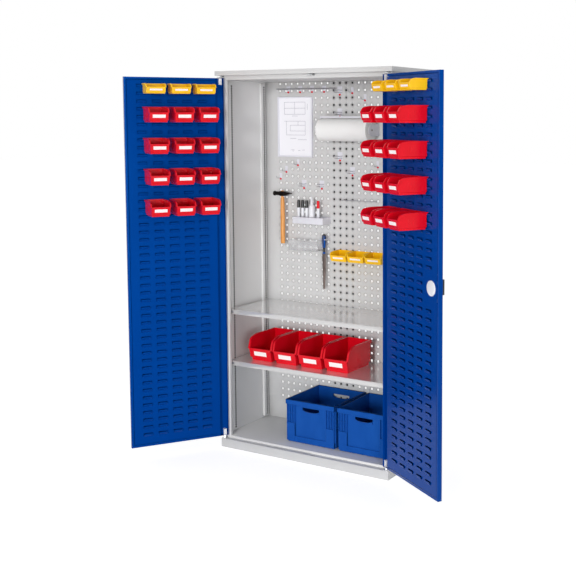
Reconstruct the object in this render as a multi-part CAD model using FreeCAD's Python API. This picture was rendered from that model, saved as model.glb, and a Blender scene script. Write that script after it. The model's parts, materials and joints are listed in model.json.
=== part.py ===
import FreeCAD, Part
import math
import os

# Tool cabinet with two doors, a perforated back, two shelves, bins, crates and hung tools.
# Millimetres, +Z up, fronts face -Y, origin at the centre of the base on the floor.
# The doors stand open, each turned on pins inside its hinge channel.

V = FreeCAD.Vector
X_AXIS = V(1, 0, 0)
Y_AXIS = V(0, 1, 0)
Z_AXIS = V(0, 0, 1)

# Driving dimensions of the carcass
BODY_W = 1000.0
BODY_D = 410.0
BODY_H = 1950.0
SHEET = 1.5
PLINTH_H = 45.0
PLINTH_RIM = 20.0
PLINTH_BRACE_W = 60.0
FLOOR_H = 12.0
COVER_SKIRT = 23.0
COVER_SIDE = 16.0
COVER_FRONT_SETBACK = 7.0
TOP_PANEL_H = 43.5
ANCHOR_SPACING = 800.0
ANCHOR_R = 4.5
ANCHOR_DROP = 23.0
FLANGE_FRONT = 40.0
FLANGE_LIP = 15.0
FLANGE_REAR = 18.0
PANEL_BEHIND = 26.5
OVER = 5.0
RUN_GAP = 0.3
HALF_SHARE = 0.5
HALF_TURN = 180.0
BAR_SIDES = 8
ROUND_SIDES = 16
DISC_SIDES = 32

# Doors
DOOR_T = 20.0
DOOR_GAP = 9.5
DOOR_SPLIT = 2.0
DOOR_SHEET = 1.0
DOOR_UNDER = 17.0
DOOR_OVER_FASCIA = 9.0
DOOR_LIP = 12.0
LEFT_OPEN = 125.0
RIGHT_OPEN = 148.0
AXIS_IN = 16.0
AXIS_DEEP = 10.0
CHANNEL_W = 44.0

# Louvres on the inner door panels
LOUVRE_PITCH_S = 76.0
LOUVRE_PITCH_Z = 38.0
LOUVRE_ROW_STEP = 4
LOUVRE_FIRST_S = 112.0
LOUVRE_EDGE_MARGIN = 60.0
LOUVRE_TOP_DROP = 35.0
LOUVRE_BOTTOM_MARGIN = 69.0
LOUVRE_W = 46.0
LOUVRE_H = 16.0
LOUVRE_OUT = 6.0
LOUVRE_MOUTH = 3.0

# Hinge pins, their blocks in the door channel and the brackets on the carcass
PIN_R = 4.0
PIN_PLAY = 0.05
PIN_BLOCK_H = 33.0
PIN_BLOCK_W = 14.0
BRACKET_T = 3.0
BRACKET_W = 28.0
BRACKET_FLANGE = 10.0
BOSS_R = 7.0

# Perforation
HOLE_PITCH = 38.0
HOLE_SIZE = 10.0
HOLE_STEP = 4
HOLE_TOP_DROP = 55.0
HOLE_BOTTOM_MARGIN = 125.0
HOLE_SIDE_MARGIN = 95.0
STIFFENER_W = 150.0

# Shelf strips, shelves and clips
STRIP_W = 36.0
STRIP_D = 10.5
STRIP_SLOT_W = 4.0
STRIP_SLOT_H = 9.0
STRIP_SLOT_PITCH = 200.0
STRIP_FRONT_IN = 55.0
STRIP_REAR_IN = 14.0
STRIP_END = 12.0
SHELF_H = 23.0
SHELF_LIP = 14.0
SHELF_FRONT_IN = 12.0
SHELF_BACK_GAP = 2.0
SHELF_END_GAP = 1.8
CRATE_HEADROOM = 148.0
BIN_HEADROOM = 119.0
CLIP_T = 3.0
CLIP_W = 14.0
CLIP_REACH = 18.0
CLIP_UP = 16.0

# Lock with rods that run up and down inside the right door
LOCK_FROM_EDGE = 60.0
LOCK_HALF_OFF = 2.0
CASE_W = 48.0
CASE_H = 120.0
DISC_R = 34.5
DISC_T = 5.0
DISC_BEVEL = 2.0
SPINDLE_R = 6.0
SPINDLE_TAIL = 3.0
HANDLE_BASE_R = 30.0
HANDLE_BASE_T = 9.0
HANDLE_L = 68.0
HANDLE_W = 18.0
HANDLE_T = 34.0
HANDLE_EDGE_SHARE = 0.25
ROD_R = 4.0
ROD_HELD = 8.0
ROD_THROW = 22.0
ROD_PAST = 2.0
ROD_PLAY = 0.1
GUIDE_H = 20.0
GUIDE_W = 20.0
GUIDE_FROM_END = 160.0
KEEPER_W = 40.0
CLEARANCE_HOLE = 1.0

# Storage bins: length, width, height, lip height, front slope, top set back, shoulder rise, wall
SMALL_BIN = {"l": 88.0, "w": 100.0, "h": 50.0, "lip": 30.0,
             "slope": 6.0, "back": 30.0, "round": 3.0, "wall": 2.2}
MEDIUM_BIN = {"l": 145.0, "w": 100.0, "h": 75.0, "lip": 45.0,
              "slope": 10.0, "back": 48.0, "round": 5.0, "wall": 2.2}
LARGE_BIN = {"l": 232.0, "w": 150.0, "h": 130.0, "lip": 62.0,
             "slope": 14.0, "back": 66.0, "round": 8.0, "wall": 2.8}
HANG_T = 3.0
HANG_GAP = 0.3
DOOR_BIN_FIRST_S = 114.0
DOOR_BIN_PITCH = 124.0
DOOR_BIN_MARGIN = 60.0
WALL_BINS = 3
WALL_BIN_PITCH = 104.0
WALL_BIN_LEFT = -29.0
WALL_BIN_DROP = 978.0
SHELF_BINS = 4
SHELF_BIN_PITCH = 155.0
SHELF_BIN_LEFT = -405.0
SHELF_BIN_FRONT_IN = 82.0

# Blue crates on the floor
CRATE_W = 300.0
CRATE_D = 310.0
CRATE_H = 220.0
CRATE_WALL = 3.0
CRATE_RIM_H = 24.0
CRATE_RIM_OUT = 5.0
CRATE_CORNER = 48.0
CRATE_BASE_H = 34.0
CRATE_FOOT_H = 6.0
CRATE_FOOT_IN = 10.0
CRATE_SLOT_W = 100.0
CRATE_SLOT_H = 20.0
CRATE_SLOT_Z = 167.0
CRATE_LEFT = -160.0
CRATE_PITCH = 313.0
CRATE_BACK_GAP = 4.0

# Document frame with its sheet
FRAME_W = 223.0
FRAME_H = 321.0
FRAME_D = 12.0
FRAME_BORDER = 7.0
FRAME_SHEET_IN = 3.0
SHEET_PAPER = 1.0
FRAME_LEFT = -410.0
FRAME_DROP = 445.0

# Paper roll on its holder
ROLL_R = 59.0
ROLL_CORE_R = 19.0
ROLL_L = 298.0
ROLL_LEFT = -86.0
ROLL_DROP = 298.0
ROLL_OUT = 76.0
SHAFT_R = 5.0
HUB_L = 20.0
HUB_FLANGE_R = 24.0
HUB_FLANGE_T = 3.0
CHEEK_T = 2.5
CHEEK_H = 62.0
TEAR_BAR_R = 4.0
TEAR_BAR_UP = 70.0

# Hook rail at the top of the perforated back
RAIL_L = 380.0
RAIL_LEFT = -420.0
RAIL_DROP = 88.0
RAIL_H = 12.0
RAIL_T = 3.0
RAIL_HOOKS = 4
RAIL_HOOK_FIRST = -344.0
RAIL_HOOK_PITCH = 76.0
HOOK_R = 2.5
HOOK_OUT = 38.0
HOOK_UP = 12.0
HOOK_PLATE_T = 2.0
HOOK_PLATE_W = 22.0
HOOK_PLATE_H = 44.0
HOOK_LOW_SHARE = 0.25
CLIP_ARM_W = 4.0
CLIP_ARM_GAP = 22.0
CLIP_ARM_OUT = 42.0
CLIP_ARM_H = 6.0

# Marker tray with pens and a bottle
TRAY_W = 190.0
TRAY_D = 82.0
TRAY_H = 34.0
TRAY_LEFT = -268.0
TRAY_DROP = 793.0
PEN_R = 9.0
PEN_L = 120.0
PEN_TIP_R = 4.0
PEN_TIP_L = 14.0
PEN_FIRST = -256.0
PEN_PITCH = 26.0
PENS = 3
RED_PEN_X = -132.0
BOTTLE_R = 17.0
BOTTLE_H = 98.0
BOTTLE_NECK_R = 7.0
BOTTLE_NECK_H = 24.0
BOTTLE_NOZZLE_R = 2.5
BOTTLE_NOZZLE_H = 18.0
BOTTLE_X = -172.0

# Hammer, file and small parts box
HAMMER_X = -357.0
HAMMER_OUT = 46.0
HAMMER_HEAD_L = 112.0
HAMMER_HEAD_R = 13.0
HAMMER_PEEN_R = 3.0
HAMMER_DROP = 641.0
HANDLE_LONG = 285.0
GRIP_R = 13.0
NECK_R = 9.0
FILE_X = -101.0
FILE_OUT = 34.0
FILE_DROP = 847.0
FILE_GRIP_L = 105.0
FILE_GRIP_R = 12.0
FILE_NECK_R = 8.0
FILE_BLADE_L = 187.0
FILE_BLADE_W = 22.0
FILE_BLADE_T = 5.0
FORK_OUT = 52.0
FORK_W = 44.0
FORK_T = 3.0
FORK_DOWN_SHARE = 0.25
PARTS_BOX_W = 176.0
PARTS_BOX_D = 84.0
PARTS_BOX_H = 54.0
PARTS_BOX_LEFT = -294.0
PARTS_BOX_DROP = 937.0
PARTS_BOX_WALL = 2.0
TOOL_BAR_L = 212.0
TOOL_BAR_LEFT = 4.0
TOOL_BAR_DROP = 662.0
TOOL_BAR_OUT = 42.0
TOOL_BAR_R = 3.0
TOOL_BAR_FOOT_IN = 8.0

# Places worked out from the driving dimensions
HALF_W = BODY_W / 2
DEPTH = BODY_D + DOOR_GAP + DOOR_T
FRONT = -DEPTH / 2
REAR = DEPTH / 2
CARCASS_FRONT = REAR - BODY_D
FLOOR_TOP = PLINTH_H + FLOOR_H
WALL_TOP = BODY_H - SHEET - TOP_PANEL_H
PANEL_Y = REAR - PANEL_BEHIND
INNER_X = HALF_W - SHEET
DOOR_W = HALF_W - DOOR_SPLIT / 2
DOOR_INNER = FRONT + DOOR_T
DOOR_BOTTOM = PLINTH_H + DOOR_UNDER
DOOR_TOP = WALL_TOP + DOOR_OVER_FASCIA
DOOR_H = DOOR_TOP - DOOR_BOTTOM
LOCK_S = DOOR_W - LOCK_FROM_EDGE
LOCK_Z = (DOOR_BOTTOM + DOOR_TOP) / 2 - LOCK_HALF_OFF
LOUVRE_COLUMNS = int((DOOR_W - LOUVRE_FIRST_S - LOUVRE_EDGE_MARGIN) // LOUVRE_PITCH_S) + 1
LOUVRE_ROWS = int((DOOR_H - LOUVRE_TOP_DROP - LOUVRE_BOTTOM_MARGIN) // LOUVRE_PITCH_Z) + 1
DOOR_BINS = int((DOOR_W - DOOR_BIN_FIRST_S - DOOR_BIN_MARGIN) // DOOR_BIN_PITCH) + 1
HOLE_COLUMNS = int((BODY_W - 2 * HOLE_SIDE_MARGIN) // HOLE_PITCH) + 1
HOLE_ROWS = int((BODY_H - HOLE_TOP_DROP - FLOOR_TOP - HOLE_BOTTOM_MARGIN) // HOLE_PITCH) + 1
LOWER_SHELF_TOP = FLOOR_TOP + CRATE_H + CRATE_HEADROOM + SHELF_H
UPPER_SHELF_TOP = LOWER_SHELF_TOP + LARGE_BIN["h"] + BIN_HEADROOM + SHELF_H
WALL_BIN_Z = BODY_H - WALL_BIN_DROP
FRAME_BOTTOM = BODY_H - FRAME_DROP
ROLL_Z = BODY_H - ROLL_DROP
RAIL_Z = BODY_H - RAIL_DROP
TRAY_Z = BODY_H - TRAY_DROP
HAMMER_HEAD_Z = BODY_H - HAMMER_DROP
FILE_TOP = BODY_H - FILE_DROP
PARTS_BOX_Z = BODY_H - PARTS_BOX_DROP
TOOL_BAR_Z = BODY_H - TOOL_BAR_DROP

# Rows of louvres, counted from the top, that carry bins
SMALL_BIN_ROWS = (0,)
UPPER_BIN_ROWS = (3, 7)
LOWER_BIN_ROWS = (11, 15)
AXIS_X = HALF_W - AXIS_IN
AXIS_Y = DOOR_INNER - AXIS_DEEP
STRIP_FACE = INNER_X - STRIP_D
SHELF_X = STRIP_FACE - SHELF_END_GAP
SHELF_FRONT = CARCASS_FRONT + FLANGE_LIP + SHELF_FRONT_IN
SHELF_BACK = PANEL_Y - SHELF_BACK_GAP
ROD_X = HALF_W - LOCK_S
ROD_IN_CASE = ROD_HELD + ROD_THROW
KEEPER_TOP = DOOR_TOP + 2 * BRACKET_T


def box(xs, ys, zs):
    """Block between pairs of coordinates."""
    return Part.makeBox(xs[1] - xs[0], ys[1] - ys[0], zs[1] - zs[0], V(xs[0], ys[0], zs[0]))


def grown(pair, by):
    """A pair of coordinates moved apart at both ends."""
    return (pair[0] - by, pair[1] + by)


def prism(points, direction):
    """Straight solid over a flat outline."""
    wire = Part.makePolygon([V(*p) for p in points] + [V(*points[0])])
    return Part.Face(wire).extrude(direction)


def column(points, z0, z1):
    """Upright solid over an outline in the XY plane."""
    return prism([(x, y, z0) for x, y in points], V(0, 0, z1 - z0))


def solids(shapes):
    """Separate solids kept in one node."""
    return Part.Compound(shapes)


def joined(first, others):
    """One solid from pieces that meet."""
    return first.fuse(others).removeSplitter()


def save(name, shape):
    shape.exportStep("parts/" + name + ".step")


def ring(radius, centre, z, sides):
    """Regular closed outline, level, whose corners lie on the circle."""
    turn = 2 * math.pi / sides
    angles = [turn * (k + HALF_SHARE) for k in range(sides)]
    points = [V(centre[0] + radius * math.cos(a), centre[1] + radius * math.sin(a), z) for a in angles]
    return Part.makePolygon(points + [points[0]])


def turned(points, centre, sides):
    """Upright round piece with flat facets, from (radius, height) points."""
    rings = [ring(radius, centre, z, sides) for radius, z in points]
    return Part.makeLoft(rings, True, True)


def bar(radius, start, direction, length):
    """Round bar with flat facets along one of the axes."""
    piece = turned([(radius, 0), (radius, length)], (0, 0), BAR_SIDES)
    turn = FreeCAD.Rotation(Z_AXIS, direction)
    piece.Placement = FreeCAD.Placement(start, turn)
    return piece


# Carcass

def plinth():
    """Folded base with a turned-in rim and a brace on the floor, and the hole for the lower bolt."""
    outer = box((-HALF_W, HALF_W), (FRONT, REAR), (0, PLINTH_H))
    xs = (-HALF_W, HALF_W)
    ys = (FRONT, REAR)
    inner = box(grown(xs, -SHEET), grown(ys, -SHEET), (SHEET, PLINTH_H - SHEET))
    half = PLINTH_BRACE_W / 2
    left = box((PLINTH_RIM - HALF_W, -half), grown(ys, -PLINTH_RIM), (-OVER, PLINTH_H - SHEET))
    right = box((half, HALF_W - PLINTH_RIM), grown(ys, -PLINTH_RIM), (-OVER, PLINTH_H - SHEET))
    bolt = Part.makeCylinder(ROD_R + CLEARANCE_HOLE, PLINTH_H, V(ROD_X, AXIS_Y, SHEET))
    return outer.cut([inner, left, right, bolt])


def floor_panel():
    """Shallow folded tray that lies on the plinth, open below, its front edge at the carcass front."""
    outer = box((-HALF_W, HALF_W), (CARCASS_FRONT, REAR), (PLINTH_H, FLOOR_TOP))
    inner = box((SHEET - HALF_W, HALF_W - SHEET), (CARCASS_FRONT + SHEET, REAR - SHEET),
                (PLINTH_H - OVER, FLOOR_TOP - SHEET))
    return outer.cut(inner)


def side_wall(side):
    """Folded side with its front flange and lip and its rear flange."""
    outline = [(0, CARCASS_FRONT), (0, REAR), (FLANGE_REAR, REAR), (FLANGE_REAR, REAR - SHEET),
               (SHEET, REAR - SHEET), (SHEET, CARCASS_FRONT + SHEET),
               (FLANGE_FRONT - SHEET, CARCASS_FRONT + SHEET),
               (FLANGE_FRONT - SHEET, CARCASS_FRONT + FLANGE_LIP),
               (FLANGE_FRONT, CARCASS_FRONT + FLANGE_LIP), (FLANGE_FRONT, CARCASS_FRONT)]
    return column([(side * (HALF_W - inset), y) for inset, y in outline], FLOOR_TOP, WALL_TOP)


def top_panel():
    """Tray under the cover; its front is the fascia over the doors and its rear has the anchor holes."""
    outer = box((-HALF_W, HALF_W), (CARCASS_FRONT, REAR), (WALL_TOP, BODY_H - SHEET))
    inner = box((SHEET - HALF_W, HALF_W - SHEET), (CARCASS_FRONT + SHEET, REAR - SHEET),
                (WALL_TOP + SHEET, BODY_H))
    anchors = []
    for side in (-1, 1):
        start = V(side * ANCHOR_SPACING / 2, REAR - SHEET - OVER, BODY_H - ANCHOR_DROP)
        anchors.append(Part.makeCylinder(ANCHOR_R, SHEET + 2 * OVER, start, Y_AXIS))
    return outer.cut([inner] + anchors)


def top_cover():
    """Cover with a skirt that overhangs the sides and the front."""
    half = HALF_W + COVER_SIDE
    front = FRONT + COVER_FRONT_SETBACK
    outer = box((-half, half), (front, REAR), (BODY_H - COVER_SKIRT, BODY_H))
    inner = box((SHEET - half, half - SHEET), (front + SHEET, REAR + OVER),
                (BODY_H - COVER_SKIRT - OVER, BODY_H - SHEET))
    return outer.cut(inner)


def perforated_back():
    """Back sheet with turned edges and square holes; the solid keeps one hole in sixteen."""
    xs = (-INNER_X, INNER_X)
    ys = (PANEL_Y, REAR - SHEET)
    zs = (FLOOR_TOP, WALL_TOP)
    pan = box(xs, ys, zs)
    pan = pan.cut(box(grown(xs, -SHEET), (PANEL_Y + SHEET, REAR), grown(zs, -SHEET)))
    holes = []
    for i in range(0, HOLE_COLUMNS, HOLE_STEP):
        for j in range(0, HOLE_ROWS, HOLE_STEP):
            x, z = hole_at(i, j)
            holes.append(square_hole(x, z))
    return pan.cut(holes)


def hole_at(i, j):
    """Centre of the hole in column i from the left and row j from the top."""
    x = (i - (HOLE_COLUMNS - 1) / 2) * HOLE_PITCH
    return x, BODY_H - HOLE_TOP_DROP - j * HOLE_PITCH


def square_hole(x, z):
    half = HOLE_SIZE / 2
    return box((x - half, x + half), (PANEL_Y - OVER, PANEL_Y + SHEET + OVER), (z - half, z + half))


def back_stiffener():
    """Upright channel behind the middle of the perforated back."""
    half = STIFFENER_W / 2
    zs = (FLOOR_TOP + SHEET, WALL_TOP - SHEET)
    ys = (PANEL_Y + SHEET, REAR - SHEET)
    outer = box((-half, half), ys, zs)
    return outer.cut(box((SHEET - half, half - SHEET), (ys[0] - OVER, ys[1] - SHEET), grown(zs, OVER)))


# Shelves

def strip(side, y0):
    """Slotted upright that carries the shelf clips."""
    zs = (FLOOR_TOP + STRIP_END, WALL_TOP - STRIP_END)
    xs = sorted((side * STRIP_FACE, side * INNER_X))
    channel = box(xs, (y0, y0 + STRIP_W), zs)
    hollow = sorted((side * (STRIP_FACE + SHEET), side * (INNER_X + OVER)))
    channel = channel.cut(box(hollow, (y0 + SHEET, y0 + STRIP_W - SHEET), grown(zs, OVER)))
    slots = []
    through = sorted((side * (STRIP_FACE - OVER), side * (STRIP_FACE + SHEET + OVER)))
    middle = y0 + STRIP_W / 2
    count = int((zs[1] - zs[0] - STRIP_SLOT_H) // STRIP_SLOT_PITCH)
    for k in range(1, count + 1):
        z = zs[0] + k * STRIP_SLOT_PITCH
        slots.append(box(through, grown((middle, middle), STRIP_SLOT_W / 2), (z, z + STRIP_SLOT_H)))
    return channel.cut(slots)


STRIP_FRONT_Y = CARCASS_FRONT + STRIP_FRONT_IN
STRIP_REAR_Y = PANEL_Y - STRIP_REAR_IN - STRIP_W


def slotted_strips():
    return solids([strip(side, y0) for side in (-1, 1) for y0 in (STRIP_FRONT_Y, STRIP_REAR_Y)])


def shelf(top):
    """Folded shelf, open below, with lips turned in under its edges."""
    xs = (-SHELF_X, SHELF_X)
    ys = (SHELF_FRONT, SHELF_BACK)
    zs = (top - SHELF_H, top)
    tray = box(xs, ys, zs)
    tray = tray.cut(box(grown(xs, -SHEET), grown(ys, -SHEET), grown(zs, -SHEET)))
    mouth = SHEET + SHELF_LIP
    return tray.cut(box(grown(xs, -mouth), grown(ys, -mouth), (zs[0] - OVER, zs[0] + SHEET)))


def clip(side, y, shelf_bottom):
    """Angle that stands against a strip and carries a shelf's edge."""
    ys = (y - CLIP_W / 2, y + CLIP_W / 2)
    reach = sorted((side * (STRIP_FACE - CLIP_REACH), side * STRIP_FACE))
    foot = box(reach, ys, (shelf_bottom - CLIP_T, shelf_bottom))
    upright = sorted((side * (STRIP_FACE - SHELF_END_GAP + RUN_GAP), side * STRIP_FACE))
    return joined(foot, [box(upright, ys, (shelf_bottom - CLIP_T, shelf_bottom + CLIP_UP))])


def shelf_clips():
    out = []
    for top in (LOWER_SHELF_TOP, UPPER_SHELF_TOP):
        for side in (-1, 1):
            for y0 in (STRIP_FRONT_Y, STRIP_REAR_Y):
                out.append(clip(side, y0 + STRIP_W / 2, top - SHELF_H))
    return solids(out)


# Hinges and keepers on the carcass

def lower_bracket(side):
    """Plate on the ledge with the boss that the door turns on."""
    xs = sorted((side * (AXIS_X - BRACKET_W / 2), side * (AXIS_X + BRACKET_W / 2)))
    plate = box(xs, (FRONT + SHEET, CARCASS_FRONT), (PLINTH_H, PLINTH_H + BRACKET_T))
    top = DOOR_BOTTOM - RUN_GAP
    boss = turned([(BOSS_R, PLINTH_H), (BOSS_R, top)], (side * AXIS_X, AXIS_Y), ROUND_SIDES)
    bore = Part.makeCylinder(PIN_R + PIN_PLAY, DOOR_UNDER + OVER, V(side * AXIS_X, AXIS_Y, PLINTH_H))
    return joined(plate, [boss]).cut(bore)


def upper_bracket(side):
    """Angle on the fascia with the hole for the upper pin."""
    xs = sorted((side * (AXIS_X - BRACKET_W / 2), side * (AXIS_X + BRACKET_W / 2)))
    z0 = DOOR_TOP + BRACKET_T
    plate = box(xs, (AXIS_Y - BOSS_R, CARCASS_FRONT), (z0, z0 + BRACKET_T))
    flange = box(xs, (CARCASS_FRONT - BRACKET_T, CARCASS_FRONT), (z0, z0 + BRACKET_FLANGE))
    bore = Part.makeCylinder(PIN_R + PIN_PLAY, BRACKET_T + 2 * OVER, V(side * AXIS_X, AXIS_Y, z0 - OVER))
    return joined(plate, [flange]).cut(bore)


def hinge_brackets():
    return solids([make(side) for side in (-1, 1) for make in (lower_bracket, upper_bracket)])


def bolt_keeper():
    """Angle on the fascia that the upper bolt enters."""
    xs = (ROD_X - KEEPER_W / 2, ROD_X + KEEPER_W / 2)
    z0 = DOOR_TOP + BRACKET_T
    plate = box(xs, (AXIS_Y - BOSS_R, CARCASS_FRONT), (z0, z0 + BRACKET_T))
    flange = box(xs, (CARCASS_FRONT - BRACKET_T, CARCASS_FRONT), (z0, z0 + BRACKET_FLANGE))
    bore = Part.makeCylinder(ROD_R + CLEARANCE_HOLE, BRACKET_T + 2 * OVER, V(ROD_X, AXIS_Y, z0 - OVER))
    return joined(plate, [flange]).cut(bore)


# Doors, drawn closed and then swung open about their pins

def swung(shape, side):
    """Turns a closed door piece to where the door stands open."""
    angle = LEFT_OPEN if side < 0 else RIGHT_OPEN
    out = shape.copy()
    out.rotate(V(side * AXIS_X, AXIS_Y, 0), Z_AXIS, side * angle)
    return out


def door_box(side, ss, ds, zs):
    """Block on a closed door: distance from the hinge edge, depth from the inner face, height."""
    xs = sorted((side * (HALF_W - ss[0]), side * (HALF_W - ss[1])))
    return box(xs, (DOOR_INNER - ds[1], DOOR_INNER - ds[0]), zs)


def door_rod(side, s, depth, radius, z0, z1):
    return Part.makeCylinder(radius, z1 - z0, V(side * (HALF_W - s), DOOR_INNER - depth, z0))


def door_shell(side):
    """Outer pan of a door with a lip round its free edge, top and bottom."""
    ss = (0, DOOR_W)
    zs = (DOOR_BOTTOM, DOOR_TOP)
    pan = door_box(side, ss, (0, DOOR_T), zs)
    hollow = (DOOR_SHEET, DOOR_T - DOOR_SHEET)
    pan = pan.cut(door_box(side, grown(ss, -DOOR_SHEET), hollow, grown(zs, -DOOR_SHEET)))
    mouth = door_box(side, (DOOR_SHEET, DOOR_W - DOOR_LIP), (-OVER, DOOR_SHEET), grown(zs, -DOOR_LIP))
    channel = door_box(side, (DOOR_SHEET, CHANNEL_W), (-OVER, DOOR_SHEET), grown(zs, -DOOR_SHEET))
    pan = pan.cut([mouth, channel])
    pan = pan.cut(door_rod(side, AXIS_IN, AXIS_DEEP, PIN_R, DOOR_BOTTOM - OVER, DOOR_TOP + OVER))
    if side > 0:
        rods = door_rod(side, LOCK_S, AXIS_DEEP, ROD_R + ROD_PLAY, DOOR_BOTTOM - OVER, DOOR_TOP + OVER)
        spindle = lock_axis(SPINDLE_R + PIN_PLAY, -OVER, DOOR_T + OVER)
        pan = pan.cut([rods, spindle])
    return swung(pan, side)


def louvre_rows():
    """Rows of louvres in the solid: one in four, and the row that carries the small bins."""
    return sorted(set(range(UPPER_BIN_ROWS[0], LOUVRE_ROWS, LOUVRE_ROW_STEP)) | set(SMALL_BIN_ROWS))


def louvre_top(row):
    """Height of the open upper edge of a louvre, rows counted from the top."""
    return DOOR_TOP - LOUVRE_TOP_DROP - row * LOUVRE_PITCH_Z


def louvre(side, s, top):
    """Hood that leans out of the panel and is open at its top."""
    x = side * (HALF_W - s)
    low = top - LOUVRE_H
    outline = [(0, low), (0, top), (LOUVRE_OUT, top), (LOUVRE_OUT, top - LOUVRE_MOUTH)]
    points = [(x - LOUVRE_W / 2, DOOR_INNER + out, z) for out, z in outline]
    return prism(points, V(LOUVRE_W, 0, 0))


def louvre_panel(side):
    """Inner door panel with its louvres and the fold that closes it to the hinge channel."""
    zs = (DOOR_BOTTOM + DOOR_LIP, DOOR_TOP - DOOR_LIP)
    plate = door_box(side, (CHANNEL_W, DOOR_W - DOOR_LIP), (0, DOOR_SHEET), zs)
    fold = door_box(side, (CHANNEL_W, CHANNEL_W + DOOR_SHEET), (DOOR_SHEET, DOOR_T - DOOR_SHEET), zs)
    hoods = []
    for column_index in range(LOUVRE_COLUMNS):
        s = LOUVRE_FIRST_S + column_index * LOUVRE_PITCH_S
        for row in louvre_rows():
            top = louvre_top(row)
            near_lock = abs(top - LOUVRE_H / 2 - LOCK_Z) < DISC_R + LOUVRE_H
            if side > 0 and near_lock and abs(s - LOCK_S) < DISC_R + LOUVRE_W / 2:
                continue
            hoods.append(louvre(side, s, top))
    panel = plate.fuse([fold] + hoods)
    if side > 0:
        panel = panel.cut(lock_axis(SPINDLE_R + PIN_PLAY, -OVER, DOOR_T))
    return swung(panel, side)


def hinge_pins(side):
    """Upper and lower pin of a door."""
    lower = door_rod(side, AXIS_IN, AXIS_DEEP, PIN_R, PLINTH_H + PIN_PLAY, DOOR_BOTTOM + PIN_BLOCK_H)
    upper = door_rod(side, AXIS_IN, AXIS_DEEP, PIN_R, DOOR_TOP - PIN_BLOCK_H, DOOR_TOP + 2 * BRACKET_T)
    return swung(solids([lower, upper]), side)


def pin_blocks(side):
    """Plastic blocks in the hinge channel that hold the pins."""
    half = PIN_BLOCK_W / 2
    out = []
    for z0 in (DOOR_BOTTOM + DOOR_SHEET, DOOR_TOP - PIN_BLOCK_H):
        block = door_box(side, (AXIS_IN - half, AXIS_IN + half), (AXIS_DEEP - half, DOOR_T - DOOR_SHEET),
                         (z0, z0 + PIN_BLOCK_H - DOOR_SHEET))
        out.append(block.cut(door_rod(side, AXIS_IN, AXIS_DEEP, PIN_R, DOOR_BOTTOM, DOOR_TOP)))
    return swung(solids(out), side)


# Lock of the right door

def lock_axis(radius, depth0, depth1):
    """Cylinder across the right door on the lock's centre line, between two depths."""
    start = V(HALF_W - LOCK_S, DOOR_INNER - depth0, LOCK_Z)
    return Part.makeCylinder(radius, depth1 - depth0, start, -Y_AXIS)


def lock_case():
    """Closed lock body behind the front skin, with bores for the spindle and both rods."""
    half = CASE_W / 2
    zs = (LOCK_Z - CASE_H / 2, LOCK_Z + CASE_H / 2)
    body = door_box(1, (LOCK_S - half, LOCK_S + half), (DOOR_SHEET, DOOR_T - DOOR_SHEET), zs)
    deep = ROD_IN_CASE + ROD_PLAY
    upper = door_rod(1, LOCK_S, AXIS_DEEP, ROD_R + ROD_PLAY, zs[1] - deep, zs[1] + OVER)
    lower = door_rod(1, LOCK_S, AXIS_DEEP, ROD_R + ROD_PLAY, zs[0] - OVER, zs[0] + deep)
    return swung(body.cut([upper, lower, lock_axis(SPINDLE_R + PIN_PLAY, 0, DOOR_T)]), 1)


def lock_disc():
    """Round cover over the spindle's end on the inner panel."""
    points = [(DISC_R, 0), (DISC_R, DISC_T - DISC_BEVEL), (DISC_R - DISC_BEVEL, DISC_T)]
    disc = turned(points, (0, 0), DISC_SIDES)
    turn = FreeCAD.Rotation(Z_AXIS, Y_AXIS)
    disc.Placement = FreeCAD.Placement(V(HALF_W - LOCK_S, DOOR_INNER, LOCK_Z), turn)
    return swung(disc.cut(lock_axis(SPINDLE_R + RUN_GAP, RUN_GAP - SPINDLE_TAIL, OVER)), 1)


def lock_spindle():
    return swung(lock_axis(SPINDLE_R, -SPINDLE_TAIL + 2 * RUN_GAP, DOOR_T + RUN_GAP), 1)


def lock_handle():
    """Round base with an upright wing grip, outside the door."""
    face = DOOR_T + RUN_GAP
    x = HALF_W - LOCK_S
    base = turned([(HANDLE_BASE_R, 0), (HANDLE_BASE_R, HANDLE_BASE_T)], (0, 0), DISC_SIDES)
    base.Placement = FreeCAD.Placement(V(x, DOOR_INNER - face, LOCK_Z), FreeCAD.Rotation(Z_AXIS, -Y_AXIS))
    y = DOOR_INNER - face - HANDLE_BASE_T
    edge = HANDLE_W * HANDLE_EDGE_SHARE
    outline = [(x - HANDLE_W / 2, y), (x + HANDLE_W / 2, y), (x + edge, y - HANDLE_T), (x - edge, y - HANDLE_T)]
    wing = column(outline, LOCK_Z - HANDLE_L / 2, LOCK_Z + HANDLE_L / 2)
    return swung(joined(base, [wing]), 1)


def lock_rod(upward):
    """Round bolt, drawn back, that the handle throws past the keeper or through the plinth's top."""
    if upward:
        z0 = LOCK_Z + CASE_H / 2 - ROD_IN_CASE
        z1 = KEEPER_TOP + ROD_PAST - ROD_THROW
    else:
        z0 = PLINTH_H - SHEET - ROD_PAST + ROD_THROW
        z1 = LOCK_Z - CASE_H / 2 + ROD_IN_CASE
    return swung(door_rod(1, LOCK_S, AXIS_DEEP, ROD_R, z0, z1), 1)


def rod_guides():
    """Blocks on the front skin that guide the rods."""
    out = []
    for z0 in (DOOR_BOTTOM + GUIDE_FROM_END, DOOR_TOP - GUIDE_FROM_END - GUIDE_H):
        block = door_box(1, (LOCK_S - GUIDE_W / 2, LOCK_S + GUIDE_W / 2), (DOOR_SHEET, DOOR_T - DOOR_SHEET),
                         (z0, z0 + GUIDE_H))
        bore = door_rod(1, LOCK_S, AXIS_DEEP, ROD_R + ROD_PLAY, z0 - OVER, z0 + GUIDE_H + OVER)
        out.append(block.cut(bore))
    return swung(solids(out), 1)


# Bins

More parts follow.
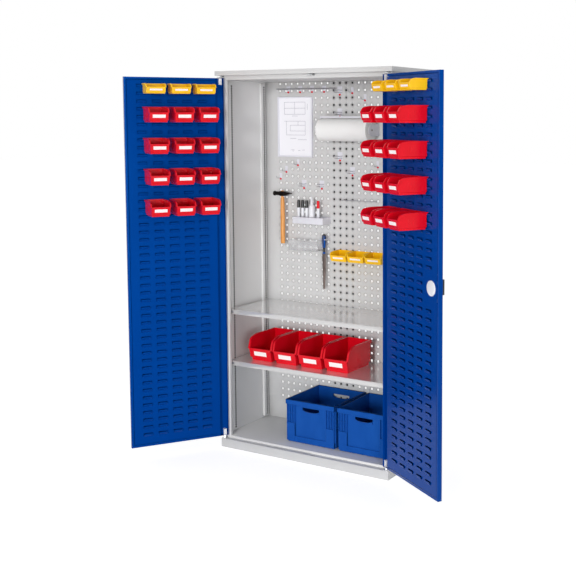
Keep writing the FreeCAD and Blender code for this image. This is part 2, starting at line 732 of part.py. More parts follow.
def bin_solid(size, hung):
    """Open-fronted bin with a shoulder: X across, Y from the back wall to the front, Z up from the base."""
    length, height, lip, wall = size["l"], size["h"], size["lip"], size["wall"]
    half = size["w"] / 2
    foot = length - size["slope"]
    shoulder = (length - size["back"] / 2, (height + lip) / 2 + size["round"])
    outer = [(0, 0), (foot, 0), (length, lip), shoulder, (length - size["back"], height), (0, height)]
    body = prism([(-half, y, z) for y, z in outer], V(size["w"], 0, 0))
    hollow = [(wall, wall), (foot - wall, wall), (length - wall, lip), (length + OVER, lip),
              (length + OVER, height + OVER), (wall, height + OVER)]
    inside = size["w"] - 2 * wall
    body = body.cut(prism([(wall - half, y, z) for y, z in hollow], V(inside, 0, 0)))
    if hung:
        body = joined(body, [box((-half, half), (-LOUVRE_OUT, 0), (height - HANG_T, height))])
    return body


def door_bins(side, size, rows):
    """Bins that hang on the louvres of the given rows."""
    out = []
    for row in rows:
        top = louvre_top(row) + HANG_T
        for k in range(DOOR_BINS):
            s = DOOR_BIN_FIRST_S + k * DOOR_BIN_PITCH
            one = bin_solid(size, True)
            one.translate(V(side * (HALF_W - s), DOOR_INNER + LOUVRE_OUT + HANG_GAP, top - size["h"]))
            out.append(one)
    return swung(solids(out), side)


def facing_front(shape, x, back_y, z):
    """Places a bin with its back at back_y and its opening towards the front."""
    shape.rotate(V(0, 0, 0), Z_AXIS, HALF_TURN)
    shape.translate(V(x, back_y, z))
    return shape


def wall_bins():
    out = []
    for k in range(WALL_BINS):
        x = WALL_BIN_LEFT + SMALL_BIN["w"] / 2 + k * WALL_BIN_PITCH
        out.append(facing_front(bin_solid(SMALL_BIN, True), x, PANEL_Y - LOUVRE_OUT, WALL_BIN_Z))
    return solids(out)


def shelf_bins():
    out = []
    for k in range(SHELF_BINS):
        x = SHELF_BIN_LEFT + LARGE_BIN["w"] / 2 + k * SHELF_BIN_PITCH
        back = CARCASS_FRONT + SHELF_BIN_FRONT_IN + LARGE_BIN["l"]
        out.append(facing_front(bin_solid(LARGE_BIN, False), x, back, LOWER_SHELF_TOP))
    return solids(out)


def crate(index):
    """Stacking crate with a rim, a stepped foot, a grip slot in each end and a sunk field in each face."""
    x0 = CRATE_LEFT + index * CRATE_PITCH
    xs = (x0, x0 + CRATE_W)
    y1 = PANEL_Y - CRATE_BACK_GAP
    ys = (y1 - CRATE_D, y1)
    z0 = FLOOR_TOP
    z1 = FLOOR_TOP + CRATE_H
    foot = box(grown(xs, -CRATE_FOOT_IN), grown(ys, -CRATE_FOOT_IN), (z0, z0 + CRATE_FOOT_H))
    body = joined(box(xs, ys, (z0 + CRATE_FOOT_H, z1)), [foot])
    inset = CRATE_RIM_OUT + CRATE_WALL
    cuts = [box(grown(xs, -inset), grown(ys, -inset), (z0 + CRATE_FOOT_H + CRATE_WALL, z1 + OVER))]
    field = (z0 + CRATE_BASE_H, z1 - CRATE_RIM_H)
    across = grown(xs, -CRATE_CORNER)
    along = grown(ys, -CRATE_CORNER)
    for y in ys:
        cuts.append(box(across, grown((y, y), CRATE_RIM_OUT), field))
    for x in xs:
        cuts.append(box(grown((x, x), CRATE_RIM_OUT), along, field))
    middle = (xs[0] + xs[1]) / 2
    zs = (z0 + CRATE_SLOT_Z, z0 + CRATE_SLOT_Z + CRATE_SLOT_H)
    cuts.append(box(grown((middle, middle), CRATE_SLOT_W / 2), grown(ys, OVER), zs))
    return body.cut(cuts)


# Things on the perforated back

def document_frame():
    xs = (FRAME_LEFT, FRAME_LEFT + FRAME_W)
    zs = (FRAME_BOTTOM, FRAME_BOTTOM + FRAME_H)
    frame = box(xs, (PANEL_Y - FRAME_D, PANEL_Y), zs)
    window = box(grown(xs, -FRAME_BORDER), (PANEL_Y - FRAME_D - OVER, PANEL_Y - FRAME_SHEET_IN),
                 grown(zs, -FRAME_BORDER))
    return frame.cut(window)


def document_sheet():
    xs = (FRAME_LEFT, FRAME_LEFT + FRAME_W)
    zs = (FRAME_BOTTOM, FRAME_BOTTOM + FRAME_H)
    y1 = PANEL_Y - FRAME_SHEET_IN
    return box(grown(xs, -FRAME_BORDER), (y1 - SHEET_PAPER, y1), grown(zs, -FRAME_BORDER))


ROLL_Y = PANEL_Y - ROLL_OUT


def along_x(radius, x0, x1, y, z):
    """Round piece with flat facets that lies along X."""
    piece = turned([(radius, 0), (radius, x1 - x0)], (0, 0), DISC_SIDES)
    piece.Placement = FreeCAD.Placement(V(x0, y, z), FreeCAD.Rotation(Z_AXIS, X_AXIS))
    return piece


def bore_x(radius, x0, x1):
    """Round shaft or bore on the roll's axis."""
    return Part.makeCylinder(radius, x1 - x0, V(x0, ROLL_Y, ROLL_Z), X_AXIS)


def paper_roll():
    """Wound paper on its core."""
    outer = along_x(ROLL_R, ROLL_LEFT, ROLL_LEFT + ROLL_L, ROLL_Y, ROLL_Z)
    return outer.cut(along_x(ROLL_CORE_R, ROLL_LEFT - OVER, ROLL_LEFT + ROLL_L + OVER, ROLL_Y, ROLL_Z))


def roll_hubs():
    """Plugs in the roll's core that turn on the shaft."""
    out = []
    for end, inward in ((ROLL_LEFT, 1), (ROLL_LEFT + ROLL_L, -1)):
        plug = sorted((end, end + inward * HUB_L))
        cap = sorted((end, end - inward * HUB_FLANGE_T))
        hub = joined(along_x(ROLL_CORE_R, plug[0], plug[1], ROLL_Y, ROLL_Z),
                     [along_x(HUB_FLANGE_R, cap[0], cap[1], ROLL_Y, ROLL_Z)])
        out.append(hub.cut(bore_x(SHAFT_R + PIN_PLAY, end - HUB_L - OVER, end + HUB_L + OVER)))
    return solids(out)


CHEEK_LEFT = ROLL_LEFT - HUB_FLANGE_T - RUN_GAP
CHEEK_RIGHT = ROLL_LEFT + ROLL_L + HUB_FLANGE_T + RUN_GAP


def roll_shaft():
    return bore_x(SHAFT_R, CHEEK_LEFT - CHEEK_T, CHEEK_RIGHT + CHEEK_T)


def roll_holder():
    """Two cheeks that carry the shaft, and the bar that the paper is torn on."""
    out = []
    for x in (CHEEK_LEFT - CHEEK_T, CHEEK_RIGHT):
        low = ROLL_Z - CHEEK_H / 2
        cheek = box((x, x + CHEEK_T), (ROLL_Y, PANEL_Y), (low, low + CHEEK_H))
        nose = along_x(CHEEK_H / 2, x, x + CHEEK_T, ROLL_Y, ROLL_Z)
        arm = box((x, x + CHEEK_T), grown((ROLL_Y, ROLL_Y), TEAR_BAR_R), (ROLL_Z, ROLL_Z + TEAR_BAR_UP))
        cheek = joined(cheek, [nose, arm])
        out.append(cheek.cut(bore_x(SHAFT_R, x - OVER, x + CHEEK_T + OVER)))
    z = ROLL_Z + TEAR_BAR_UP - TEAR_BAR_R
    out.append(box((CHEEK_LEFT, CHEEK_RIGHT), grown((ROLL_Y, ROLL_Y), TEAR_BAR_R), grown((z, z), TEAR_BAR_R)))
    return solids(out)


def hook(x, z, out_by):
    """Round hook that stands out of a face at PANEL_Y and turns up at its end."""
    arm = bar(HOOK_R, V(x, PANEL_Y - out_by - HOOK_R, z), Y_AXIS, out_by + HOOK_R)
    tip = bar(HOOK_R, V(x, PANEL_Y - out_by, z), Z_AXIS, HOOK_UP)
    return joined(arm, [tip])


def hook_rail():
    """Flat bar with a row of hooks."""
    rail = box((RAIL_LEFT, RAIL_LEFT + RAIL_L), (PANEL_Y - RAIL_T, PANEL_Y), (RAIL_Z, RAIL_Z + RAIL_H))
    places = [RAIL_HOOK_FIRST + k * RAIL_HOOK_PITCH for k in range(RAIL_HOOKS)]
    return joined(rail, [hook(x, RAIL_Z + RAIL_H / 2, HOOK_OUT) for x in places])


# Column and row in the hole grid of each hook and clip
SINGLE_HOOKS = ((3, 11), (1, 12), (0, 13), (12, 1), (14, 2), (16, 11))
TOOL_CLIPS = ((4, 14), (7, 14), (10, 4), (10, 10), (12, 12), (10, 1))


def single_hooks():
    """Plates with one hook each, set in the perforation."""
    out = []
    for i, j in SINGLE_HOOKS:
        x, z = hole_at(i, j)
        plate = box((x - HOOK_PLATE_W / 2, x + HOOK_PLATE_W / 2), (PANEL_Y - HOOK_PLATE_T, PANEL_Y),
                    (z - HOOK_PLATE_H / 2, z + HOOK_PLATE_H / 2))
        out.append(joined(plate, [hook(x, z - HOOK_PLATE_H * HOOK_LOW_SHARE, HOOK_OUT)]))
    return out


def tool_clips():
    """Plates with two spring arms each."""
    out = []
    for i, j in TOOL_CLIPS:
        x, z = hole_at(i, j)
        half = CLIP_ARM_GAP / 2
        plate = box((x - half - CLIP_ARM_W, x + half + CLIP_ARM_W), (PANEL_Y - HOOK_PLATE_T, PANEL_Y),
                    (z - HOOK_PLATE_H / 2, z + HOOK_PLATE_H / 2))
        arms = []
        for sign in (-1, 1):
            xs = sorted((x + sign * half, x + sign * (half + CLIP_ARM_W)))
            arms.append(box(xs, (PANEL_Y - CLIP_ARM_OUT, PANEL_Y), (z - CLIP_ARM_H / 2, z + CLIP_ARM_H / 2)))
        out.append(joined(plate, arms))
    return out


def tool_bar():
    """Long bar held out in front of the back, for hanging tools."""
    z = TOOL_BAR_Z
    y = PANEL_Y - TOOL_BAR_OUT
    front = bar(TOOL_BAR_R, V(TOOL_BAR_LEFT, y, z), X_AXIS, TOOL_BAR_L)
    feet = []
    for x in (TOOL_BAR_LEFT + TOOL_BAR_FOOT_IN, TOOL_BAR_LEFT + TOOL_BAR_L - TOOL_BAR_FOOT_IN):
        feet.append(bar(TOOL_BAR_R, V(x, y, z), Y_AXIS, TOOL_BAR_OUT))
    return joined(front, feet)


TRAY_Y = PANEL_Y - TRAY_D


def marker_tray():
    xs = (TRAY_LEFT, TRAY_LEFT + TRAY_W)
    ys = (TRAY_Y, PANEL_Y)
    tray = box(xs, ys, (TRAY_Z, TRAY_Z + TRAY_H))
    return tray.cut(box(grown(xs, -SHEET), grown(ys, -SHEET), (TRAY_Z + SHEET, TRAY_Z + TRAY_H + OVER)))


def pen(x, y):
    """Marker standing on its cap in the tray."""
    z = TRAY_Z + SHEET
    top = z + PEN_L
    points = [(PEN_R, z), (PEN_R, top - PEN_TIP_L), (PEN_TIP_R, top)]
    return turned(points, (x, y), ROUND_SIDES)


def pens():
    middle = PANEL_Y - TRAY_D / 2
    out = [pen(PEN_FIRST + k * PEN_PITCH, middle) for k in range(PENS)]
    out.append(pen(RED_PEN_X, middle))
    return solids(out)


def bottle():
    """Round bottle with a neck and a fine nozzle, standing in the tray."""
    z = TRAY_Z + SHEET
    shoulder = z + BOTTLE_H
    neck = shoulder + BOTTLE_NECK_H
    top = neck + BOTTLE_NOZZLE_H
    points = [(BOTTLE_R, z), (BOTTLE_R, shoulder - BOTTLE_NECK_R), (BOTTLE_NECK_R, shoulder),
              (BOTTLE_NECK_R, neck), (BOTTLE_NOZZLE_R, top)]
    return turned(points, (BOTTLE_X, PANEL_Y - TRAY_D / 2), ROUND_SIDES)


HAMMER_Y = PANEL_Y - HAMMER_OUT


def hammer_head():
    """Head with a square poll and a wedge peen, with an eye for the handle."""
    x0 = HAMMER_X - HAMMER_HEAD_L / 2
    z = HAMMER_HEAD_Z
    r = HAMMER_HEAD_R
    outline = [(x0, z - r), (x0 + HAMMER_HEAD_L / 2, z - r), (x0 + HAMMER_HEAD_L, z - HAMMER_PEEN_R),
               (x0 + HAMMER_HEAD_L, z + HAMMER_PEEN_R), (x0 + HAMMER_HEAD_L / 2, z + r), (x0, z + r)]
    head = prism([(x, HAMMER_Y - r, zz) for x, zz in outline], V(0, 2 * r, 0))
    return head.cut(turned([(NECK_R, z - 2 * r), (NECK_R, z + 2 * r)], (HAMMER_X, HAMMER_Y), ROUND_SIDES))


def hammer_handle():
    """Wooden handle through the eye, thicker at the grip."""
    top = HAMMER_HEAD_Z + HAMMER_HEAD_R + HAMMER_PEEN_R
    low = top - HANDLE_LONG
    middle = (top + low) / 2
    points = [(GRIP_R, low), (GRIP_R, middle), (NECK_R, HAMMER_HEAD_Z - HAMMER_HEAD_R), (NECK_R, top)]
    return turned(points, (HAMMER_X, HAMMER_Y), ROUND_SIDES)


FILE_Y = PANEL_Y - FILE_OUT


def file_grip():
    low = FILE_TOP - FILE_GRIP_L
    middle = (FILE_TOP + low) / 2
    points = [(FILE_NECK_R, low), (FILE_GRIP_R, middle), (FILE_GRIP_R, FILE_TOP)]
    return turned(points, (FILE_X, FILE_Y), ROUND_SIDES)


def file_blade():
    """Flat blade that runs out narrower at its end."""
    top = FILE_TOP - FILE_GRIP_L
    low = top - FILE_BLADE_L
    wide = FILE_BLADE_W / 2
    outline = [(FILE_X - wide, top), (FILE_X + wide, top), (FILE_X + wide / 2, low), (FILE_X - wide / 2, low)]
    return prism([(x, FILE_Y - FILE_BLADE_T / 2, z) for x, z in outline], V(0, FILE_BLADE_T, 0))


def fork(x, z, centre_y, radius):
    """Holder with a round notch, open at the front, that a handle hangs in."""
    plate = box((x - FORK_W / 2, x + FORK_W / 2), (PANEL_Y - FORK_OUT, PANEL_Y), (z - FORK_T, z))
    bore = turned([(radius, z - FORK_T - OVER), (radius, z + OVER)], (x, centre_y), ROUND_SIDES)
    deep = (z - FORK_T - OVER, z + OVER)
    mouth = box((x - radius, x + radius), (PANEL_Y - FORK_OUT - OVER, centre_y), deep)
    return plate.cut([bore, mouth])


def tool_forks():
    """Holders under the hammer's head and round the file's grip."""
    hammer = fork(HAMMER_X, HAMMER_HEAD_Z - HAMMER_HEAD_R, HAMMER_Y, NECK_R + RUN_GAP)
    file_z = FILE_TOP - FILE_GRIP_L * FORK_DOWN_SHARE
    return solids([hammer, fork(FILE_X, file_z, FILE_Y, FILE_GRIP_R + RUN_GAP)])


def parts_box():
    """Clear box with an open top, hung on the perforated back."""
    xs = (PARTS_BOX_LEFT, PARTS_BOX_LEFT + PARTS_BOX_W)
    ys = (PANEL_Y - PARTS_BOX_D, PANEL_Y)
    body = box(xs, ys, (PARTS_BOX_Z, PARTS_BOX_Z + PARTS_BOX_H))
    return body.cut(box(grown(xs, -PARTS_BOX_WALL), grown(ys, -PARTS_BOX_WALL),
                        (PARTS_BOX_Z + PARTS_BOX_WALL, PARTS_BOX_Z + PARTS_BOX_H + OVER)))


def build():
    os.makedirs("parts", exist_ok=True)
    save("plinth", plinth())
    save("floor_panel", floor_panel())
    save("top_panel", top_panel())
    save("top_cover", top_cover())
    save("perforated_back", perforated_back())
    save("back_stiffener", back_stiffener())
    save("slotted_strips", slotted_strips())
    save("upper_shelf", shelf(UPPER_SHELF_TOP))
    save("lower_shelf", shelf(LOWER_SHELF_TOP))
    save("shelf_clips", shelf_clips())
    save("hinge_brackets", hinge_brackets())
    save("bolt_keeper", bolt_keeper())
    for side, name in ((-1, "left"), (1, "right")):
        save(name + "_side_wall", side_wall(side))
        save(name + "_door_shell", door_shell(side))
        save(name + "_louvre_panel", louvre_panel(side))
        save(name + "_hinge_pins", hinge_pins(side))
        save(name + "_pin_blocks", pin_blocks(side))
        save(name + "_small_bins", door_bins(side, SMALL_BIN, SMALL_BIN_ROWS))
        save(name + "_upper_bins", door_bins(side, MEDIUM_BIN, UPPER_BIN_ROWS))
        save(name + "_lower_bins", door_bins(side, MEDIUM_BIN, LOWER_BIN_ROWS))
    save("lock_case", lock_case())
    save("lock_disc", lock_disc())
    save("lock_spindle", lock_spindle())
    save("lock_handle", lock_handle())
    save("upper_rod", lock_rod(True))
    save("lower_rod", lock_rod(False))
    save("rod_guides", rod_guides())
    save("wall_bins", wall_bins())
    save("shelf_bins", shelf_bins())
    save("left_crate", crate(0))
    save("right_crate", crate(1))
    save("document_frame", document_frame())
    save("document_sheet", document_sheet())
    save("roll_holder", roll_holder())
    save("roll_shaft", roll_shaft())
    save("roll_hubs", roll_hubs())
    save("paper_roll", paper_roll())
    save("hook_rail", hook_rail())
    save("hooks_and_clips", solids(single_hooks() + tool_clips()))
    save("tool_bar", tool_bar())
    save("tool_forks", tool_forks())
    save("marker_tray", marker_tray())
    save("pens", pens())
    save("bottle", bottle())
    save("hammer_head", hammer_head())
    save("hammer_handle", hammer_handle())
    save("file_grip", file_grip())
    save("file_blade", file_blade())
    save("parts_box", parts_box())


build()
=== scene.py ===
from collections import namedtuple
import json
import math

import bmesh
import bpy
from mathutils import Matrix, Vector


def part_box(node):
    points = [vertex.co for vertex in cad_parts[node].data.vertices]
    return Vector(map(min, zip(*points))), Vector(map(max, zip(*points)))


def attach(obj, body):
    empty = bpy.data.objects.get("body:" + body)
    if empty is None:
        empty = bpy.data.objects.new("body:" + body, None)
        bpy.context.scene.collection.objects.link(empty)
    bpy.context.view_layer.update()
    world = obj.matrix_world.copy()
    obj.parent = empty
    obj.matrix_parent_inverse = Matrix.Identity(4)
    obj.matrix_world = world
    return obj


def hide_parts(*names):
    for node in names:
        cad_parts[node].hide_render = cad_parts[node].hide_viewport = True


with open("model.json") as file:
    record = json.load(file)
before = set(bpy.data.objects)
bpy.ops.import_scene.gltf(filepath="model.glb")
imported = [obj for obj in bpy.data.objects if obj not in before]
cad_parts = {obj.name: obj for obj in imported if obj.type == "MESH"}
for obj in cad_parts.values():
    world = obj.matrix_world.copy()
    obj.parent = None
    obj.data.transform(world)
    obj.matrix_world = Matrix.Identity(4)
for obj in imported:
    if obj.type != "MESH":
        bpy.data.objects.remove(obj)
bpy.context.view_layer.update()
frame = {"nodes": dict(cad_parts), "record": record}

# Tool cabinet with two doors, a perforated back, two shelves, bins, crates and hung tools.
# Metres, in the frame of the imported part. Fronts face -Y.

# Camera of the photo
CAMERA_AT = (2.7057, -4.1540, 1.7145)
CAMERA_YAW = 0.5133
CAMERA_PITCH = -0.0883
CAMERA_LENS = 61.22
CAMERA_SENSOR = 36.0
CAMERA_SHIFT_X = -0.17
CAMERA_SHIFT_Y = -0.145

# Sizes of the carcass, read from the frame where a node gives them
BACK_LO, BACK_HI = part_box("perforated_back")
PANEL_Y = BACK_LO.y
COVER_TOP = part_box("top_cover")[1].z
HALF_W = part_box("right_side_wall")[1].x
SHEET = 0.0015
DEGREE = math.pi / 180

# Doors: their closed place and how far each stands open
DOOR_W = 0.499
DOOR_T = 0.020
DOOR_SHEET = 0.001
DOOR_LIP = 0.012
DOOR_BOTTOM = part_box("left_door_shell")[0].z
DOOR_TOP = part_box("left_door_shell")[1].z
DOOR_INNER = -0.19975
DOOR_OPEN = {-1: 125 * DEGREE, 1: 148 * DEGREE}
AXIS_IN = 0.016
AXIS_DEEP = 0.010
CHANNEL_W = 0.044
LOCK_S = 0.439
LOCK_DROP = 0.002
LOCK_Z = (DOOR_BOTTOM + DOOR_TOP) / 2 - LOCK_DROP

# Louvres pressed out of the inner door panels
LOUVRE_COLUMNS = 5
LOUVRE_ROWS = 47
LOUVRE_FIRST_S = 0.112
LOUVRE_PITCH_S = 0.076
LOUVRE_PITCH_Z = 0.038
LOUVRE_TOP_DROP = 0.035
LOUVRE_W = 0.046
LOUVRE_H = 0.016
LOUVRE_OUT = 0.006
LOUVRE_SLOT = 0.0028
LOUVRE_GAP = 0.0006
LOCK_CLEAR = 0.075

# Perforation of the back
HOLE_COLUMNS = 22
HOLE_ROWS = 46
HOLE_PITCH = 0.038
HOLE_SIZE = 0.0106
HOLE_CORNER = 0.0022
HOLE_TOP_DROP = 0.055

# Storage bins; slope is the lean of the front, and back is how far the upper edge is set back
Bin = namedtuple("Bin", "length width height lip slope back wall label hung rim foot ribs")
SMALL_BIN = Bin(0.088, 0.100, 0.050, lip=0.030, slope=0.006, back=0.030, wall=0.0022, label=(0.062, 0.009),
                hung=True, rim=0.0035, foot=0.0022, ribs=0)
MEDIUM_BIN = Bin(0.145, 0.100, 0.075, lip=0.045, slope=0.010, back=0.048, wall=0.0022, label=(0.062, 0.016),
                 hung=True, rim=0.0045, foot=0.0035, ribs=3)
LARGE_BIN = Bin(0.232, 0.150, 0.130, lip=0.062, slope=0.014, back=0.066, wall=0.0028, label=(0.078, 0.024),
                hung=False, rim=0.0075, foot=0.006, ribs=3)
FOOT_H_SHARE = 0.11
LABEL_DOWN = 0.0035
LABEL_T = 0.0006
LABEL_BORDER = 0.0016
LABEL_RAISED = 0.0011
HANG_T = 0.003
HANG_GAP = 0.0003
DOOR_BINS = 3
DOOR_BIN_FIRST_S = 0.114
DOOR_BIN_PITCH = 0.124
DOOR_BIN_ROWS = (("small_bins", SMALL_BIN, (0,)), ("upper_bins", MEDIUM_BIN, (3, 7)),
                 ("lower_bins", MEDIUM_BIN, (11, 15)))

X_AXIS = Vector((1, 0, 0))
Y_AXIS = Vector((0, 1, 0))
Z_AXIS = Vector((0, 0, 1))


# Where the nodes belong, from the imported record

BODIES = frame["record"]["behaviour"]["bodies"]
BODY_OF = {node: body for body, members in BODIES.items() for node in members}
SLOT_OF = {part["node"]: part["material_slot"] for part in frame["record"]["subparts"]}


# Materials

# Scales in repeats per metre, depths of bumps in metres
PAINT_DRIFT = 2.5
GLOSS_SCALE = 14.0
ROUGH_SHARE = 0.8
PLASTIC_ROUGH_SHARE = 0.75
PEEL_SCALE = 420.0
PEEL_DEPTH = 0.00005
FLOW_SCALE = 18.0
SKIN_SCALE = 900.0
SKIN_DEPTH = 0.00005
STREAK_SCALE = 260.0
GRAIN_SCALE = 130.0
GRAIN_STRETCH = 0.08
GRAIN_AT = (0.3, 0.62)
FIBRE_SCALE = 700.0
COCKLE_SCALE = 16.0
COCKLE_DEPTH = 0.0008
ENAMEL_ROUGH = (0.32, 0.4)
LACQUER = {"Coat Weight": 1.0, "Coat IOR": 2.4, "Coat Roughness": 0.05}
GLASSY = {"Transmission Weight": 0.8, "IOR": 1.08}
# How a pattern is stretched along each axis, and tints of the sheen
EVEN = (1, 1, 1)
DRAWN = (1, 1, 0.1)
MOULDED = (1, 1, 0.4)
WHITE_SHEEN = (1.0, 1.0, 1.0, 1.0)
BLUE_SHEEN = (0.03, 0.3, 1.0, 1.0)
RED_SHEEN = (1.0, 0.4, 0.4, 1.0)


def linear(tone):
    """Linear colour of a tone given in sRGB values of 0 to 255."""
    out = []
    for value in tone:
        c = value / 255
        out.append(c / 12.92 if c <= 0.04045 else ((c + 0.055) / 1.055) ** 2.4)
    return (*out, 1.0)


def grey(value):
    return (value, value, value)


class Nodes:
    """The node tree of a material or a world."""

    def __init__(self, owner, clear=False):
        owner.use_nodes = True
        self.tree = owner.node_tree
        if clear:
            self.tree.nodes.clear()

    def node(self, kind, **inputs):
        made = self.tree.nodes.new("ShaderNode" + kind)
        for key, value in inputs.items():
            made.inputs[key.replace("_", " ")].default_value = value
        return made

    def link(self, output, target):
        self.tree.links.new(output, target)


class Look(Nodes):
    """A material under construction: its shader, and nodes that read the object's own coordinates."""

    def __init__(self, name, roughness, specular=0.5, metallic=0.0, sheen=WHITE_SHEEN):
        self.material = bpy.data.materials.new(name)
        super().__init__(self.material)
        self.shader = self.tree.nodes["Principled BSDF"]
        self.coordinates = self.node("TexCoord")
        self.bumps = None
        self.give({"Roughness": roughness, "Specular IOR Level": specular, "Metallic": metallic,
                   "Specular Tint": sheen})

    def give(self, values):
        """Sets constants of the shader, by the names of its sockets."""
        for key, value in values.items():
            self.shader.inputs[key].default_value = value

    def noise(self, scale, detail=2.0, stretch=EVEN):
        mapping = self.node("Mapping", Scale=stretch)
        self.link(self.coordinates.outputs["Object"], mapping.inputs["Vector"])
        noise = self.node("TexNoise", Scale=scale, Detail=detail)
        self.link(mapping.outputs["Vector"], noise.inputs["Vector"])
        return noise.outputs["Fac"]

    def colour(self, factor, low, high, at=(0.3, 0.7)):
        """Base colour that runs from one tone to the other between two values of the factor."""
        ramp = self.node("ValToRGB")
        for stop, place, tone in zip(ramp.color_ramp.elements, at, (low, high)):
            stop.position = place
            stop.color = linear(tone)
        self.link(factor, ramp.inputs["Fac"])
        self.link(ramp.outputs["Color"], self.shader.inputs["Base Color"])

    def rough(self, factor, low, high):
        spread = self.node("MapRange", To_Min=low, To_Max=high)
        self.link(factor, spread.inputs["Value"])
        self.link(spread.outputs["Result"], self.shader.inputs["Roughness"])

    def bump(self, factor, depth):
        """Adds a bump to those that are there."""
        bump = self.node("Bump", Strength=1.0, Distance=depth)
        self.link(factor, bump.inputs["Height"])
        if self.bumps:
            self.link(self.bumps, bump.inputs["Normal"])
        self.bumps = bump.outputs["Normal"]
        self.link(self.bumps, self.shader.inputs["Normal"])


def paint(name, low, high, roughness=0.4, specular=0.4, peel=PEEL_DEPTH, sheen=WHITE_SHEEN):
    """Powder coat: drifting tone, slightly uneven gloss and an orange-peel bump."""
    look = Look(name, roughness, specular, sheen=sheen)
    look.colour(look.noise(PAINT_DRIFT), low, high)
    look.rough(look.noise(GLOSS_SCALE), roughness * ROUGH_SHARE, roughness)
    look.bump(look.noise(PEEL_SCALE), peel)
    return look.material


def enamel(name, low, high):
    """Smooth enamel whose lacquer mirrors what stands behind it."""
    look = Look(name, ENAMEL_ROUGH[1])
    look.colour(look.noise(PAINT_DRIFT), low, high)
    look.rough(look.noise(GLOSS_SCALE), *ENAMEL_ROUGH)
    look.give(LACQUER)
    return look.material


def plastic(name, low, high, roughness, specular=0.5, flow=EVEN, sheen=WHITE_SHEEN):
    """Moulded plastic: faint flow marks and a fine skin."""
    look = Look(name, roughness, specular, sheen=sheen)
    look.colour(look.noise(FLOW_SCALE, stretch=flow), low, high)
    look.rough(look.noise(GLOSS_SCALE), roughness * PLASTIC_ROUGH_SHARE, roughness)
    look.bump(look.noise(SKIN_SCALE), SKIN_DEPTH)
    return look.material


def metal(name, low, high, roughness, stretch=EVEN, metallic=1.0):
    """Plated, drawn or polished metal with fine streaks."""
    look = Look(name, roughness, metallic=metallic)
    streaks = look.noise(STREAK_SCALE, stretch=stretch)
    look.colour(streaks, low, high)
    look.rough(streaks, roughness * ROUGH_SHARE, roughness)
    look.bump(streaks, SKIN_DEPTH)
    return look.material


def wood(name, low, high, roughness):
    """Straight-grained handle wood under lacquer."""
    look = Look(name, roughness)
    grain = look.noise(GRAIN_SCALE, detail=6.0, stretch=(1, 1, GRAIN_STRETCH))
    look.colour(grain, low, high, GRAIN_AT)
    look.bump(grain, SKIN_DEPTH)
    return look.material


def clear(name, low, high, roughness):
    """Clear moulded plastic."""
    look = Look(name, roughness)
    look.give(GLASSY)
    look.colour(look.noise(FLOW_SCALE), low, high)
    look.bump(look.noise(SKIN_SCALE), SKIN_DEPTH)
    return look.material


def paper(name, low, high, roughness=0.8, specular=0.2):
    """Uncoated paper: fibres and a faint cockle."""
    look = Look(name, roughness, specular)
    look.colour(look.noise(FIBRE_SCALE, detail=4.0), low, high)
    look.bump(look.noise(FIBRE_SCALE), SKIN_DEPTH)
    look.bump(look.noise(COCKLE_SCALE), COCKLE_DEPTH)
    return look.material


# One look for each slot of the solids, with its two tones in sRGB values
LOOKS = {
    "carcass_paint": paint("light_grey_powder_coat", grey(220), grey(224)),
    "shelf_paint": enamel("light_grey_enamel", (190, 189, 188), (196, 195, 194)),
    "door_paint": paint("gentian_blue_powder_coat", (0, 60, 142), (0, 64, 149), 0.22, 0.2,
                        peel=0.00006, sheen=BLUE_SHEEN),
    "zinc": metal("bright_zinc", (196, 198, 200), (226, 227, 228), 0.3, DRAWN),
    "steel": metal("dark_steel", (96, 84, 80), (138, 126, 120), 0.38, (1, 1, 0.06)),
    "white_plastic": plastic("white_plastic", (228, 230, 236), (240, 241, 245), 0.32),
    "black_plastic": plastic("black_plastic", (14, 14, 16), (26, 26, 28), 0.35),
    "red_plastic": plastic("red_plastic", (222, 8, 30), (228, 12, 35), 0.24, 0.5, MOULDED, RED_SHEEN),
    "yellow_plastic": plastic("yellow_plastic", (252, 196, 14), (255, 204, 22), 0.3, 0.4, MOULDED),
    "blue_plastic": plastic("blue_plastic", (18, 74, 156), (24, 82, 166), 0.34, 0.4, MOULDED, BLUE_SHEEN),
    "clear_plastic": clear("clear_plastic", (240, 241, 242), (252, 252, 253), 0.12),
    "paper": paper("white_paper", (240, 240, 239), (244, 244, 243)),
    "wood": wood("lacquered_wood", (200, 124, 42), (238, 166, 86), 0.35),
    "hook_paint": paint("hook_grey", (222, 222, 230), (230, 230, 238), 0.35, 0.5, peel=0.00004),
}

# Looks of pieces that differ from their slot. The back and the outer panels take darker copies of the
# carcass's grey coat, which is painted shade.
BACK_SHADED_PAINT = paint("light_grey_coat_back_shade", grey(206), grey(210))
OUTER_SHADED_PAINT = paint("light_grey_coat_outer_shade", grey(204), grey(208))
# Lighter copy of the shelf enamel for the shelves' tops, painted sheen
SHELF_TOP_SHEEN = metal("shelf_top_painted_sheen", grey(236), grey(241), 0.14, metallic=0.6)
PLUG_GREY = plastic("grey_plug", (118, 118, 124), (140, 140, 146), 0.4)
LABEL_PAPER = paper("label_card", (252, 240, 240), (255, 248, 247))
DRAWING_PAPER = paper("drawing_paper", (243, 243, 248), (247, 247, 252))
INK = paint("printed_line", (112, 112, 134), (140, 140, 160), 0.7, 0.2, peel=0.00001)
BLACK_STEEL = metal("blackened_steel", (24, 22, 22), (48, 44, 42), 0.4)
WIRE_GREY = metal("drawn_wire", (166, 166, 172), (192, 192, 198), 0.35, DRAWN)


# Mesh tools

BLOCK_FACES = ((0, 1, 3, 2), (4, 6, 7, 5), (0, 4, 5, 1), (2, 3, 7, 6), (0, 2, 6, 4), (1, 5, 7, 3))
FOUR_CORNERS = ((-1, -1), (1, -1), (1, 1), (-1, 1))
HERE = Matrix.Identity(4)


